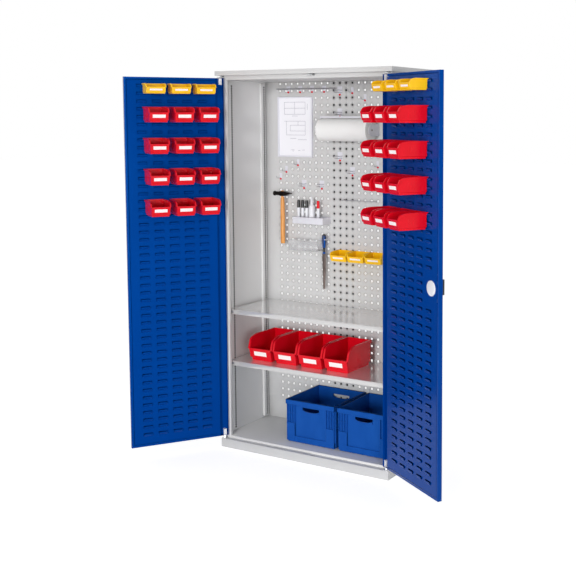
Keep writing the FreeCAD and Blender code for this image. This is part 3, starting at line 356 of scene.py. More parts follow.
def block(bm, lo, hi, place=HERE):
    """Closed block between two corners."""
    corners = [(x, y, z) for x in (lo[0], hi[0]) for y in (lo[1], hi[1]) for z in (lo[2], hi[2])]
    verts = [bm.verts.new(place @ Vector(p)) for p in corners]
    for face in BLOCK_FACES:
        bm.faces.new([verts[i] for i in face])


def band(bm, rings):
    """Faces between closed rings of vertices. A ring of one vertex, over and over, closes an end."""
    for low, high in zip(rings, rings[1:]):
        for k in range(len(low)):
            n = (k + 1) % len(low)
            corners = dict.fromkeys((low[k], low[n], high[n], high[k]))
            if len(corners) > 2:
                bm.faces.new(list(corners))


def prism(bm, outline, shift, place=HERE):
    """Closed straight solid over a flat outline."""
    low = [bm.verts.new(place @ Vector(p)) for p in outline]
    high = [bm.verts.new(place @ (Vector(p) + Vector(shift))) for p in outline]
    bm.faces.new(low[::-1])
    bm.faces.new(high)
    band(bm, (low, high))


def grid(bm, rows, hole=None):
    """Quads over rows of vertices, apart from those whose row and column make a hole."""
    for r, (low, high) in enumerate(zip(rows, rows[1:])):
        for c in range(len(low) - 1):
            if not (hole and hole(r, c)):
                bm.faces.new((low[c], low[c + 1], high[c + 1], high[c]))


def quad(bm, corners):
    bm.faces.new([bm.verts.new(p) for p in corners])


def circle(count):
    """Points of a unit circle."""
    turns = [2 * math.pi * k / count for k in range(count)]
    return [(math.cos(turn), math.sin(turn)) for turn in turns]


def lathe(bm, profile, place=HERE, segments=48):
    """Round piece about the local Z axis, from (radius, height) points; a radius of zero closes an end."""
    rings = []
    for radius, z in profile:
        if radius == 0:
            rings.append([bm.verts.new(place @ Vector((0, 0, z)))] * segments)
        else:
            ring = [Vector((radius * c, radius * s, z)) for c, s in circle(segments)]
            rings.append([bm.verts.new(place @ p) for p in ring])
    band(bm, rings)


STEEP = 0.9


def tube(bm, path, radius, sides=12):
    """Round wire along a path of points."""
    points = [Vector(p) for p in path]
    rings = []
    normal = None
    for k, p in enumerate(points):
        heading = (points[min(k + 1, len(points) - 1)] - points[max(k - 1, 0)]).normalized()
        if normal is None:
            other = Z_AXIS if abs(heading.z) < STEEP else X_AXIS
            normal = heading.cross(other).normalized()
        normal = (normal - heading * normal.dot(heading)).normalized()
        across = heading.cross(normal)
        rings.append([bm.verts.new(p + radius * (c * normal + s * across)) for c, s in circle(sides)])
    band(bm, rings)
    bm.faces.new(rings[0][::-1])
    bm.faces.new(rings[-1])


def rounded(points, radius, steps=5):
    """Path through points with its corners rounded off."""
    pts = [Vector(p) for p in points]
    out = [pts[0]]
    for a, b, c in zip(pts, pts[1:], pts[2:]):
        before = (a - b).normalized() * min(radius, (a - b).length / 2)
        after = (c - b).normalized() * min(radius, (c - b).length / 2)
        for k in range(steps + 1):
            t = k / steps
            out.append((1 - t) ** 2 * (b + before) + 2 * t * (1 - t) * b + t ** 2 * (b + after))
    return out + [pts[-1]]


def span(side, a, b):
    """Two distances from the middle, as rising coordinates on one side of it."""
    return sorted((side * a, side * b))


def moved(x, y, z):
    return Matrix.Translation((x, y, z))


def centre_of(node):
    lo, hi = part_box(node)
    return (lo + hi) / 2


def upright(centre):
    return moved(centre.x, centre.y, 0)


def along(axis, start):
    """Place whose local Z axis runs along an axis from a point."""
    return Matrix.Translation(start) @ Z_AXIS.rotation_difference(axis).to_matrix().to_4x4()


def scaled(shares, radius, low, height):
    """Profile of a round piece, from shares of its radius and height."""
    return [(radius * a, low + height * b) for a, b in shares]


def round_size(node):
    """Radius, lowest point and height of an upright round node."""
    lo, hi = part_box(node)
    return (hi.x - lo.x) / 2, lo.z, hi.z - lo.z


EDGE_SOFT = 0.0003
EDGE_ANGLE = 28 * DEGREE
FLAT_ANGLE = 1 * DEGREE
JOIN_DIST = 0.00001


def join_doubles(bm):
    bmesh.ops.remove_doubles(bm, verts=bm.verts, dist=JOIN_DIST)


def linked(name, data):
    """New object in the scene."""
    obj = bpy.data.objects.new(name, data)
    bpy.context.collection.objects.link(obj)
    return obj


def mesh_object(name, bm, material):
    mesh = bpy.data.meshes.new(name)
    bm.to_mesh(mesh)
    bm.free()
    mesh.materials.append(material)
    return linked(name, mesh)


def piece(name, bm, slot, nodes=(), body="carcass", look=None, wall=0.0, offset=-1.0, bevel=EDGE_SOFT,
          segments=2):
    """Makes the collected faces an object that rides on a body, with its finish, thickness and soft edges."""
    bmesh.ops.recalc_face_normals(bm, faces=bm.faces)
    obj = mesh_object(name, bm, look or LOOKS[slot])
    obj.data.shade_smooth()
    if wall:
        solid = obj.modifiers.new("wall", "SOLIDIFY")
        solid.thickness = wall
        solid.offset = offset
    soft = obj.modifiers.new("edges", "BEVEL")
    soft.width = bevel
    soft.segments = segments
    soft.limit_method = "ANGLE"
    soft.angle_limit = EDGE_ANGLE
    soft.harden_normals = True
    soft.use_clamp_overlap = True
    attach(obj, body)
    if nodes:
        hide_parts(*nodes)


def bevelled(node, width, slot=None, look=None):
    """Stands a copy of a solid in its place, with soft edges."""
    bm = bmesh.new()
    bm.from_mesh(frame["nodes"][node].data)
    join_doubles(bm)
    bmesh.ops.dissolve_limit(bm, angle_limit=FLAT_ANGLE, verts=bm.verts, edges=bm.edges)
    piece(node + "_skin", bm, slot or SLOT_OF[node], (node,), BODY_OF[node], look, bevel=width)


# Carcass

FOLD_SOFT = 0.0009
FOLDED = ("plinth", "floor_panel", "top_panel", "top_cover", "left_side_wall", "right_side_wall",
          "upper_shelf", "lower_shelf", "hinge_brackets", "bolt_keeper", "shelf_clips", "back_stiffener")
# Outer panels take the darker copy of the grey coat, painted shade
OUTER = ("plinth", "top_panel", "top_cover")


def hole_cell(bm, x, z):
    """One pitch of the back, with its square hole whose corners are clipped, a quarter turn at a time."""
    far = HOLE_PITCH / 2
    near = HOLE_SIZE / 2
    clip = near - HOLE_CORNER
    outer = [(-far, -far), (-clip, -far), (clip, -far)]
    inner = [(-near, -clip), (-clip, -near)]
    for _ in range(3):
        outer += [(-b, a) for a, b in outer[-3:]]
        inner += [(-b, a) for a, b in inner[-2:]]
    o = [bm.verts.new((x + a, PANEL_Y, z + b)) for a, b in outer]
    i = [bm.verts.new((x + a, PANEL_Y, z + b)) for a, b in inner]
    for quarter in range(4):
        m, n = 3 * quarter, 2 * quarter
        bm.faces.new((o[m], o[m + 1], i[n + 1], i[n], o[m - 1]))
        bm.faces.new((o[m + 1], o[m + 2], i[(n + 2) % 8], i[n + 1]))


def hole_at(i, j):
    """Centre of the hole in column i from the left and row j from the top."""
    return (i - (HOLE_COLUMNS - 1) / 2) * HOLE_PITCH, COVER_TOP - HOLE_TOP_DROP - j * HOLE_PITCH


def perforated_back():
    """Back sheet with its full grid of holes and its turned edges."""
    bm = bmesh.new()
    columns = [hole_at(i, 0)[0] for i in range(HOLE_COLUMNS)]
    rows = [hole_at(0, j)[1] for j in range(HOLE_ROWS)]
    for x in columns:
        for z in rows:
            hole_cell(bm, x, z)
    margin = SHEET / 2
    far = HOLE_PITCH / 2
    clip = HOLE_SIZE / 2 - HOLE_CORNER
    steps = (-far, -clip, clip)
    ends_x = (BACK_LO.x + margin, BACK_HI.x - margin)
    ends_z = (BACK_LO.z + margin, BACK_HI.z - margin)
    lines_x = [x + d for x in columns for d in steps] + [columns[-1] + far]
    lines_z = [z + d for z in rows[::-1] for d in steps] + [rows[0] + far]
    whole_z = [ends_z[0]] + lines_z + [ends_z[1]]
    bands = [((ends_x[0], lines_x[0]), whole_z), ((lines_x[-1], ends_x[1]), whole_z),
             (lines_x, (ends_z[0], lines_z[0])), (lines_x, (lines_z[-1], ends_z[1]))]
    for xs, zs in bands:
        grid(bm, [[bm.verts.new((x, PANEL_Y, z)) for x in xs] for z in zs])
    whole_x = [ends_x[0]] + lines_x + [ends_x[1]]
    for x in ends_x:
        grid(bm, [[bm.verts.new((x, y, z)) for y in (PANEL_Y, BACK_HI.y)] for z in whole_z])
    for z in ends_z:
        grid(bm, [[bm.verts.new((x, y, z)) for x in whole_x] for y in (PANEL_Y, BACK_HI.y)])
    join_doubles(bm)
    # The back takes the darker copy of the grey coat, painted shade
    piece("perforated_back_sheet", bm, "carcass_paint", ("perforated_back",), look=BACK_SHADED_PAINT,
          wall=SHEET, offset=0.0)


STRIP_W = 0.036
STRIP_D = 0.0105
SLOT_W = 0.012
SLOT_H = 0.0085
SLOT_PITCH = 0.0125
SLOT_IN = 0.006
SLOT_FACE = 2
# Black strip behind the slots: painted shade inside the channel
SHADE_STRIP_W = 0.018
SHADE_STRIP_IN = (2 * SHEET, 3 * SHEET)
PLUG_IN = 0.016
PLUG_W = 0.016
PLUG_H = 0.013
PLUG_T = 0.0006
PLUG_TOP = 0.005
SHELVES = ("lower_shelf", "upper_shelf")


def slotted_strips():
    """Slotted uprights on the side walls, with their full row of slots, and behind them a black strip of
    painted shade that makes the slots read dark.
    """
    lo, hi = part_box("slotted_strips")
    zs = [lo.z]
    for k in range(int((hi.z - lo.z) // SLOT_PITCH)):
        slot_top = lo.z + (k + 1) * SLOT_PITCH
        zs += [slot_top - SLOT_H, slot_top]
    zs.append(hi.z)
    strips, painted_shade = bmesh.new(), bmesh.new()
    for side in (-1, 1):
        wall = side * (HALF_W - SHEET)
        face = side * (HALF_W - SHEET - STRIP_D)
        behind = span(side, *(HALF_W - SHEET - STRIP_D + d for d in SHADE_STRIP_IN))
        for y0 in (lo.y, hi.y - STRIP_W):
            y1 = y0 + STRIP_W
            slot_y = y1 - SLOT_IN
            line = [(wall, y0), (face, y0), (face, slot_y - SLOT_W), (face, slot_y), (face, y1),
                    (wall, y1)]
            net = [[strips.verts.new((x, y, z)) for x, y in line] for z in zs]
            grid(strips, net, lambda r, c: c == SLOT_FACE and r % 2 == 1)
            block(painted_shade, (behind[0], y1 - SHADE_STRIP_W, lo.z), (behind[1], y1 - SHEET, hi.z))
    piece("slotted_strips_skin", strips, "carcass_paint", ("slotted_strips",), wall=SHEET / 2)
    # The black strip is painted shade behind the slots
    piece("slotted_strips_painted_shade", painted_shade, "black_plastic")


def shelf_plugs():
    """Grey plugs in the ends of the shelves' front edges."""
    bm = bmesh.new()
    for node in SHELVES:
        lo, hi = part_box(node)
        for side in (-1, 1):
            xs = span(side, hi.x - PLUG_IN, hi.x - PLUG_IN - PLUG_W)
            block(bm, (xs[0], lo.y - PLUG_T, hi.z - PLUG_TOP - PLUG_H), (xs[1], lo.y, hi.z - PLUG_TOP))
    piece("shelf_plugs", bm, "black_plastic", look=PLUG_GREY)


# Thickness of the black sheet of painted shade behind the stiffener
SHADE_LAYER_T = 0.0005


def stiffener_painted_shade():
    """Black sheet on the channel behind the back, seen through its holes: painted shade in the channel."""
    lo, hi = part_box("back_stiffener")
    bm = bmesh.new()
    block(bm, (lo.x, lo.y - SHADE_LAYER_T, lo.z), (hi.x, lo.y, hi.z))
    piece("back_stiffener_painted_shade", bm, "black_plastic", bevel=SHADE_LAYER_T / 4)


FACE_IN = 0.003
FACE_T = 0.0002


def shelf_top_sheen():
    """Lighter, half-metallic copy of the shelves' enamel on their upper faces: their mirroring is rendered,
    the lighter tone is painted sheen.
    """
    bm = bmesh.new()
    for node in SHELVES:
        lo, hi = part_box(node)
        block(bm, (lo.x + FACE_IN, lo.y + FACE_IN, hi.z), (hi.x - FACE_IN, hi.y - FACE_IN, hi.z + FACE_T))
    piece("shelf_top_sheen", bm, "shelf_paint", look=SHELF_TOP_SHEEN, bevel=FACE_T / 4)


def carcass():
    shelf_top_sheen()
    for node in FOLDED:
        bevelled(node, FOLD_SOFT, look=OUTER_SHADED_PAINT if node in OUTER else None)
    stiffener_painted_shade()
    perforated_back()
    slotted_strips()
    shelf_plugs()


# Doors

def door_place(side):
    """Turns door coordinates into the frame's: from the hinge edge, out from the inner face, and up."""
    closed = Matrix(((-side, 0, 0, side * HALF_W), (0, 1, 0, DOOR_INNER), (0, 0, 1, 0), (0, 0, 0, 1)))
    axis = Vector((side * (HALF_W - AXIS_IN), DOOR_INNER - AXIS_DEEP, 0))
    turn = Matrix.Rotation(side * DOOR_OPEN[side], 4, "Z")
    return Matrix.Translation(axis) @ turn @ Matrix.Translation(-axis) @ closed


DOOR_PLACE = {-1: door_place(-1), 1: door_place(1)}
SIDES = {-1: "left", 1: "right"}
HOOD_STEPS = 6
HOOD_COLUMNS = 8
HOOD_RISE_SHARE = 0.62
HOOD_CORNER_SHARE = 0.35
HOOD_CORNER_POWER = 6
PANEL_SEAM = 0.002


def louvre_top(row):
    return DOOR_TOP - LOUVRE_TOP_DROP - row * LOUVRE_PITCH_Z


def has_louvre(side, s, top):
    """The lock's cover takes the place of the louvres round it."""
    near = abs(top - LOUVRE_H / 2 - LOCK_Z) < LOCK_CLEAR and abs(s - LOCK_S) < LOCK_CLEAR
    return not (side > 0 and near)


def hood(bm, place, s, top):
    """Tongue pressed out of the panel, open above and at its ends."""
    low = top - LOUVRE_H
    high = top - LOUVRE_SLOT
    rows = []
    for b in range(HOOD_STEPS + 1):
        t = b / HOOD_STEPS
        rise = min(1.0, t / HOOD_RISE_SHARE)
        out = LOUVRE_OUT * (0.5 - 0.5 * math.cos(math.pi * rise))
        row = []
        for a in range(HOOD_COLUMNS + 1):
            across = 2 * a / HOOD_COLUMNS - 1
            half = LOUVRE_W / 2 - LOUVRE_GAP
            drop = HOOD_CORNER_SHARE * LOUVRE_SLOT * abs(across) ** HOOD_CORNER_POWER * t
            row.append(bm.verts.new(place @ Vector((s + across * half, out, low + t * (high - low) - drop))))
        rows.append(row)
    grid(bm, rows)


def louvre_panel(side):
    """Inner door panel with a window and a tongue for every louvre."""
    place = DOOR_PLACE[side]
    bm = bmesh.new()
    columns = [LOUVRE_FIRST_S + k * LOUVRE_PITCH_S for k in range(LOUVRE_COLUMNS)]
    us = [CHANNEL_W]
    for s in columns:
        us += [s - LOUVRE_W / 2, s + LOUVRE_W / 2]
    us.append(DOOR_W - DOOR_LIP - PANEL_SEAM)
    zs = [DOOR_BOTTOM + DOOR_LIP + PANEL_SEAM]
    for row in range(LOUVRE_ROWS)[::-1]:
        zs += [louvre_top(row) - LOUVRE_H, louvre_top(row)]
    zs.append(DOOR_TOP - DOOR_LIP - PANEL_SEAM)

    def window(r, c):
        return r % 2 == 1 and c % 2 == 1 and has_louvre(side, columns[c // 2], zs[r + 1])

    net = [[bm.verts.new(place @ Vector((u, 0, z))) for u in us] for z in zs]
    grid(bm, net, window)
    for r in range(1, len(zs) - 1, 2):
        for c, s in enumerate(columns):
            if window(r, 2 * c + 1):
                hood(bm, place, s, zs[r + 1])
    fold = [bm.verts.new(place @ Vector((CHANNEL_W, DOOR_SHEET - DOOR_T, z))) for z in zs]
    grid(bm, [[row[0] for row in net], fold])
    name = SIDES[side]
    piece(name + "_louvre_sheet", bm, "door_paint", (name + "_louvre_panel",), name + "_door",
          wall=DOOR_SHEET, offset=0.0)


def doors():
    for side, name in SIDES.items():
        bevelled(name + "_door_shell", FOLD_SOFT)
        louvre_panel(side)
        bevelled(name + "_pin_blocks", FOLD_SOFT)
        for row_name, size, rows in DOOR_BIN_ROWS:
            places = []
            for row in rows:
                for k in range(DOOR_BINS):
                    s = DOOR_BIN_FIRST_S + k * DOOR_BIN_PITCH
                    z = louvre_top(row) + HANG_T - size.height
                    at = moved(s, LOUVRE_OUT + HANG_GAP, z)
                    places.append(DOOR_PLACE[side] @ at)
            slot = "yellow_plastic" if size is SMALL_BIN else "red_plastic"
            bins(name + "_" + row_name, size, places, slot, name + "_door")


# Bins

SHOULDER_BACK_SHARE = 0.24
SHOULDER_UP_SHARE = 0.78
SHOULDER_ROUND_SHARE = 0.24
RIM_LEAN_SHARE = 0.5
RIB_FIRST_SHARE = 0.42
RIB_PITCH = 0.014
RIB_W = 0.0024
RIB_OUT = 0.0007
RIB_LOW_SHARE = 0.25
RIB_HIGH_SHARE = 0.68
BIN_SOFT = 0.0016
RIM_SOFT = 0.0011
HALF_TURN = Matrix.Rotation(math.pi, 4, "Z")
WALL_BINS = 3
SHELF_BINS = 4


def bin_rings(size):
    """Levels of the bin from its stepped foot up to the lip: inset, height and front."""
    foot = size.height * FOOT_H_SHARE
    front = size.length - size.slope
    lean = size.slope / size.lip
    step = size.foot
    return [(step, 0, front - step), (step, foot, front + lean * foot - step),
            (0, foot + step / 2, front + lean * (foot + step / 2)), (0, size.lip, size.length)]


def bin_edge(size):
    """Upper edge of a side wall, from the lip back to the rear wall, as (depth, height) points."""
    l, h, lip, back = size.length, size.height, size.lip, size.back
    shoulder = (0, l - back * SHOULDER_BACK_SHARE, lip + (h - lip) * SHOULDER_UP_SHARE)
    corner = [(0, l, lip), shoulder, (0, l - back, h), (0, 0, h)]
    return [(p.y, p.z) for p in rounded(corner, back * SHOULDER_ROUND_SHARE, 4)]


def bin_skin(bm, size, place):
    """Walls, floor and back of one bin."""
    half = size.width / 2 - size.rim
    levels = []
    for inset, z, front in bin_rings(size):
        x = half - inset
        ring = [(-x, inset, z), (x, inset, z), (x, front, z), (-x, front, z)]
        levels.append([bm.verts.new(place @ Vector(p)) for p in ring])
    bm.faces.new(levels[0][::-1])
    band(bm, levels)
    edge = bin_edge(size)[1:]
    rear, front = levels[-1][:2], levels[-1][2:]
    left = [bm.verts.new(place @ Vector((-half, y, z))) for y, z in edge]
    right = [bm.verts.new(place @ Vector((half, y, z))) for y, z in edge]
    bm.faces.new([rear[0], front[1]] + left)
    bm.faces.new(([rear[1], front[0]] + right)[::-1])
    bm.faces.new((rear[0], rear[1], right[-1], left[-1]))


def bin_trim(bm, size, place):
    """Rims, ribs, lip and hanger of one bin."""
    half = size.width / 2
    wall = size.wall
    rim = size.rim
    edge = bin_edge(size)
    deep = 2 * rim
    inner = [(y - deep * RIM_LEAN_SHARE, z - deep) for y, z in edge]
    inner[0] = (edge[0][0] - deep, edge[0][1])
    inner[-1] = (edge[-1][0], edge[-1][1] - deep)
    for side in (-1, 1):
        x0 = side * (half - rim - wall)
        for a, b, c, d in zip(edge, edge[1:], inner[1:], inner):
            outline = [(x0, p[0], p[1]) for p in (a, b, c, d)]
            prism(bm, outline, (side * (rim + wall), 0, 0), place)
        for k in range(size.ribs):
            y = size.length * RIB_FIRST_SHARE + k * RIB_PITCH
            xs = span(side, half - rim, half - rim + RIB_OUT)
            zs = (size.height * RIB_LOW_SHARE, size.height * RIB_HIGH_SHARE)
            block(bm, (xs[0], y, zs[0]), (xs[1], y + RIB_W, zs[1]), place)
    block(bm, (rim - half, size.length - wall - rim, size.lip - rim),
          (half - rim, size.length, size.lip + rim / 2), place)
    if size.hung:
        block(bm, (-half, -LOUVRE_OUT, size.height - HANG_T), (half, 0, size.height), place)


def label_place(size):
    """Frame on the leaning front wall: across, up the wall and out of it, at the label's middle."""
    lean = math.atan2(size.slope, size.lip)
    z = size.lip - size.rim - LABEL_DOWN - size.label[1] / 2
    front = size.length - size.slope + size.slope * z / size.lip
    return moved(0, front, z) @ Matrix.Rotation(-lean, 4, "X")


def label_frame(bm, size, place):
    w, h = (v / 2 for v in size.label)
    b = LABEL_BORDER
    for lo, hi in (((-w - b, -w), (-h - b, h + b)), ((w, w + b), (-h - b, h + b)),
                   ((-w, w), (-h - b, -h)), ((-w, w), (h, h + b))):
        block(bm, (lo[0], -LABEL_T, hi[0]), (lo[1], LABEL_RAISED, hi[1]), place)


def bins(node, size, places, slot, body="carcass"):
    """All bins of one node as a skin, its trim with the label frames, and the labels."""
    skin, trim, labels = bmesh.new(), bmesh.new(), bmesh.new()
    w, h = (v / 2 for v in size.label)
    for place in places:
        bin_skin(skin, size, place)
        bin_trim(trim, size, place)
        on_front = place @ label_place(size)
        label_frame(trim, size, on_front)
        block(labels, (-w, 0, -h), (w, LABEL_T, h), on_front)
    piece(node + "_shell", skin, slot, (node,), body, wall=size.wall, bevel=BIN_SOFT, segments=3)
    piece(node + "_rims", trim, slot, body=body, bevel=RIM_SOFT)
    piece(node + "_labels", labels, "paper", body=body, look=LABEL_PAPER)


def goods_bins():
    """Bins on the perforated back and on the lower shelf."""
    shelf_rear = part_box("shelf_bins")[1].y
    for node, size, count, rear, slot in (
            ("wall_bins", SMALL_BIN, WALL_BINS, PANEL_Y - LOUVRE_OUT, "yellow_plastic"),
            ("shelf_bins", LARGE_BIN, SHELF_BINS, shelf_rear, "red_plastic")):
        lo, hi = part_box(node)
        pitch = (hi.x - lo.x - size.width) / (count - 1)
        xs = [lo.x + size.width / 2 + k * pitch for k in range(count)]
        bins(node, size, [moved(x, rear, lo.z) @ HALF_TURN for x in xs], slot)


# Crates

CRATE_WALL = 0.003
CRATE_IN = 0.008
CRATE_RIM_H = 0.024
CRATE_FOOT_H = 0.006
CRATE_FOOT_IN = 0.010
CORNER_W = 0.048
CORNER_H_SHARE = 0.46
CRATE_RIB_W = 0.0035
CRATE_RIBS = 3
LOW_BAND_TOP = 0.034
CRATE_SOFT = 0.0015
# Handholds in the ends
HOLD_W = 0.100
HOLD_LOW = 0.167
HOLD_H = 0.020
HOLD_STEPS = 10
HOLD_RISE_SHARE = 0.45
HOLD_POWER = 3
# How far parts of a face stand out, as shares of the rim's depth
BAND_OUT = 0.8
CORNER_OUT = 0.9
POST_OUT = 0.95
UPRIGHT_OUT = 0.85
CROSS_OUT = 0.6


def crate_wall(bm, place, width, height, hold):
    """One face: across from its middle, out from the skin, and up from the crate's base."""
    half = width / 2 - CRATE_IN
    w = HOLD_W / 2
    hold_xs = (-w, w) if hold else ()
    hold_zs = (HOLD_LOW, HOLD_LOW + HOLD_H) if hold else ()
    xs = (-half, *hold_xs, half)
    zs = (CRATE_FOOT_H, *hold_zs, height)
    net = [[bm.verts.new(place @ Vector((x, 0, z))) for x in xs] for z in zs]
    grid(bm, net, lambda r, c: hold and r == 1 and c == 1)


def crate_trim(bm, place, width, height):
    """Rim, lower band, and on both sides a solid corner with its post, cross rib and upright ribs."""
    half = width / 2
    out = CRATE_IN
    top = height - CRATE_RIM_H
    corner_top = height * CORNER_H_SHARE
    field = half - CORNER_W - CRATE_IN
    middle = (corner_top + top) / 2
    gap = (CORNER_W - CRATE_RIB_W) / CRATE_RIBS
    # The rim's upper edge is doubled, so that it shades darker
    for low in (top, height - CRATE_RIB_W):
        block(bm, (-half, 0, low), (half, out, height), place)
    block(bm, (out - half, 0, CRATE_FOOT_H), (half - out, out * BAND_OUT, LOW_BAND_TOP), place)
    bars = [(field, half - out, CRATE_FOOT_H, corner_top, CORNER_OUT),
            (field, field + CRATE_RIB_W, CRATE_FOOT_H, top, POST_OUT),
            (field, half - out, middle, middle + CRATE_RIB_W, CROSS_OUT)]
    for k in range(1, CRATE_RIBS + 1):
        bars.append((field + k * gap, field + k * gap + CRATE_RIB_W, corner_top, top, UPRIGHT_OUT))
    for side in (-1, 1):
        for near, far, low, high, share in bars:
            xs = span(side, near, far)
            block(bm, (xs[0], 0, low), (xs[1], out * share, high), place)


def hold_edge(bm, place):
    """Thickened lower edge of a handhold, which rises towards its ends."""
    half = HOLD_W / 2
    rise = HOLD_H * HOLD_RISE_SHARE
    for k in range(HOLD_STEPS):
        xs = [half * (2 * n / HOLD_STEPS - 1) for n in (k, k + 1)]
        outline = [(x, HOLD_LOW - CRATE_RIB_W) for x in xs]
        outline += [(x, HOLD_LOW + rise * (abs(x) / half) ** HOLD_POWER) for x in xs[::-1]]
        prism(bm, [(x, -CRATE_WALL, z) for x, z in outline], (0, CRATE_WALL + CRATE_RIB_W, 0), place)


def crate(node):
    """Stacking crate with ribs, a rim, solid lower corners and handholds in its ends."""
    lo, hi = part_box(node)
    middle = centre_of(node)
    w, d, h = hi - lo
    skin, trim = bmesh.new(), bmesh.new()
    for turn, width, depth, hold in ((0, w, d, True), (2, w, d, True), (1, d, w, False), (3, d, w, False)):
        face = moved(0, depth / 2 - CRATE_IN, 0)
        turned = Matrix.Rotation(turn * math.pi / 2, 4, "Z") @ face
        place = moved(middle.x, middle.y, lo.z) @ turned
        crate_wall(skin, place, width, h, hold)
        crate_trim(trim, place, width, h)
        if hold:
            hold_edge(trim, place)
    x = w / 2 - CRATE_IN
    y = d / 2 - CRATE_IN
    floor_z = lo.z + CRATE_FOOT_H
    quad(skin, [(middle.x + a * x, middle.y + b * y, floor_z) for a, b in FOUR_CORNERS])
    join_doubles(skin)
    foot = CRATE_FOOT_IN
    block(trim, (lo.x + foot, lo.y + foot, lo.z), (hi.x - foot, hi.y - foot, floor_z))
    piece(node + "_shell", skin, "blue_plastic", (node,), wall=CRATE_WALL, bevel=BIN_SOFT)
    piece(node + "_ribs", trim, "blue_plastic", bevel=CRATE_SOFT, segments=3)


# Things on the back

ROLL_EDGE = 0.0012
ROLL_WOUND = 9
ROLL_RING_SHARE = 0.7
ROLL_CORE_R = 0.019
ROLL_SHAFT_R = 0.00505
HUB_LIP = 0.003
HUB_L = 0.020


def paper_roll():
    """Wound paper with its rings at both ends."""
    lo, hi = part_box("paper_roll")
    r = (hi.z - lo.z) / 2
    centre = centre_of("paper_roll")
    length = hi.x - lo.x
    profile = [(ROLL_CORE_R, ROLL_EDGE)]
    for k in range(ROLL_WOUND):
        a = ROLL_CORE_R + (r - ROLL_CORE_R) * (k + 0.5) / ROLL_WOUND
        profile += [(a, 0), (a + ROLL_EDGE, ROLL_EDGE * ROLL_RING_SHARE)]
    profile += [(r - ROLL_EDGE, 0), (r, ROLL_EDGE)]
    far_end = [(a, length - z) for a, z in profile][::-1]
    bm = bmesh.new()
    lathe(bm, profile + far_end + [profile[0]], along(X_AXIS, (lo.x, centre.y, centre.z)), segments=96)
    join_doubles(bm)
    piece("paper_roll_wound", bm, "paper", ("paper_roll",), "roll")


def roll_hubs():
    """Hubs that the roll turns on, one at each end."""
    lo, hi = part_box("roll_hubs")
    r = (hi.z - lo.z) / 2
    centre = centre_of("paper_roll")
    core = ROLL_CORE_R
    profile = [(ROLL_SHAFT_R, 0), (r - HUB_LIP, 0), (r, HUB_LIP / 3), (r, HUB_LIP), (core, HUB_LIP),
               (core - HUB_LIP / 3, HUB_L), (ROLL_SHAFT_R, HUB_L), (ROLL_SHAFT_R, 0)]
    bm = bmesh.new()
    for x, way in ((lo.x, X_AXIS), (hi.x, -X_AXIS)):
        lathe(bm, profile, along(way, (x, centre.y, centre.z)), segments=64)
    join_doubles(bm)
    piece("roll_hubs_moulded", bm, "black_plastic", ("roll_hubs",), "roll", bevel=RIM_SOFT)


SHEET_T = 0.0006
SHEET_COLUMNS = 8
SHEET_ROWS = 12
INK_W = 0.0013
INK_T = 0.0001
# Lines of the drawing, as shares of the sheet: two plan views, their dimension lines and a row of marks
DRAWING_SHARES = (
    (0.16, 0.93, 0.8, 0.93), (0.16, 0.72, 0.8, 0.72), (0.16, 0.72, 0.16, 0.93), (0.8, 0.72, 0.8, 0.93),
    (0.48, 0.72, 0.48, 0.93), (0.16, 0.825, 0.8, 0.825), (0.4, 0.69, 0.56, 0.69), (0.87, 0.8, 0.87, 0.9),
    (0.16, 0.6, 0.8, 0.6), (0.22, 0.36, 0.8, 0.36), (0.22, 0.36, 0.22, 0.6), (0.8, 0.36, 0.8, 0.6),
    (0.34, 0.53, 0.8, 0.53), (0.34, 0.43, 0.34, 0.53), (0.34, 0.43, 0.8, 0.43), (0.58, 0.53, 0.58, 0.6),
    (0.34, 0.3, 0.52, 0.3), (0.58, 0.28, 0.84, 0.28), (0.36, 0.1, 0.46, 0.1), (0.4, 0.08, 0.44, 0.08),
    (0.58, 0.09, 0.64, 0.09), (0.7, 0.1, 0.78, 0.1),
)


def document():
    """Sheet that shows a plain dimensioned drawing."""
    lo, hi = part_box("document_sheet")
    w, h = hi.x - lo.x, hi.z - lo.z
    y = hi.y - SHEET_T
    xs = [lo.x + w * c / SHEET_COLUMNS for c in range(SHEET_COLUMNS + 1)]
    zs = [lo.z + h * r / SHEET_ROWS for r in range(SHEET_ROWS + 1)]
    bm = bmesh.new()
    grid(bm, [[bm.verts.new((x, hi.y - SHEET_T / 2, z)) for x in xs] for z in zs])
    piece("document_paper", bm, "paper", ("document_sheet",), look=DRAWING_PAPER, wall=SHEET_T, offset=0.0)
    bm = bmesh.new()
    for x0, z0, x1, z1 in DRAWING_SHARES:
        xs = sorted(lo.x + w * x for x in (x0, x1))
        zs = sorted(lo.z + h * z for z in (z0, z1))
        t = INK_W / 2
        block(bm, (xs[0] - t, y - INK_T, zs[0] - t), (xs[1] + t, y, zs[1] + t))
    piece("document_lines", bm, "black_plastic", look=INK)


# Outlines of turned and moulded goods, as shares of their radius and height
HANDLE_PROFILE = ((0, 0), (0.86, 0), (1, 0.02), (1, 0.3), (0.97, 0.5), (0.94, 0.7), (0.86, 0.84),
                  (0.68, 0.88), (0.68, 0.995), (0.56, 1), (0, 1))
HANDLE_OVAL = 0.82
HEAD_FACE = ((0, 0), (0.86, 0), (1, 0.16), (1, 0.6), (0.78, 0.9))
HEAD_NECK = 0.8
HEAD_NECK_GAP = 0.9
HEAD_CHEEK = 0.82
HEAD_EYE = 1.05
HEAD_PEEN = (-0.9, 0.02, 0.32, 0.95)
HEAD_SOFT = 0.0012
GRIP_PROFILE = ((0, 0), (0.48, 0), (0.56, 0.03), (0.53, 0.16), (0.64, 0.34), (0.9, 0.62), (0.93, 0.82),
                (0.8, 0.95), (0.46, 1), (0, 1))
INLAY_OUTLINE = ((0.4, 0.3), (0.66, 0.32), (0.91, 0.6), (0.93, 0.8), (0.8, 0.93), (0.4, 0.9))
INLAY_HALF_W = 0.36
INLAYS = 4
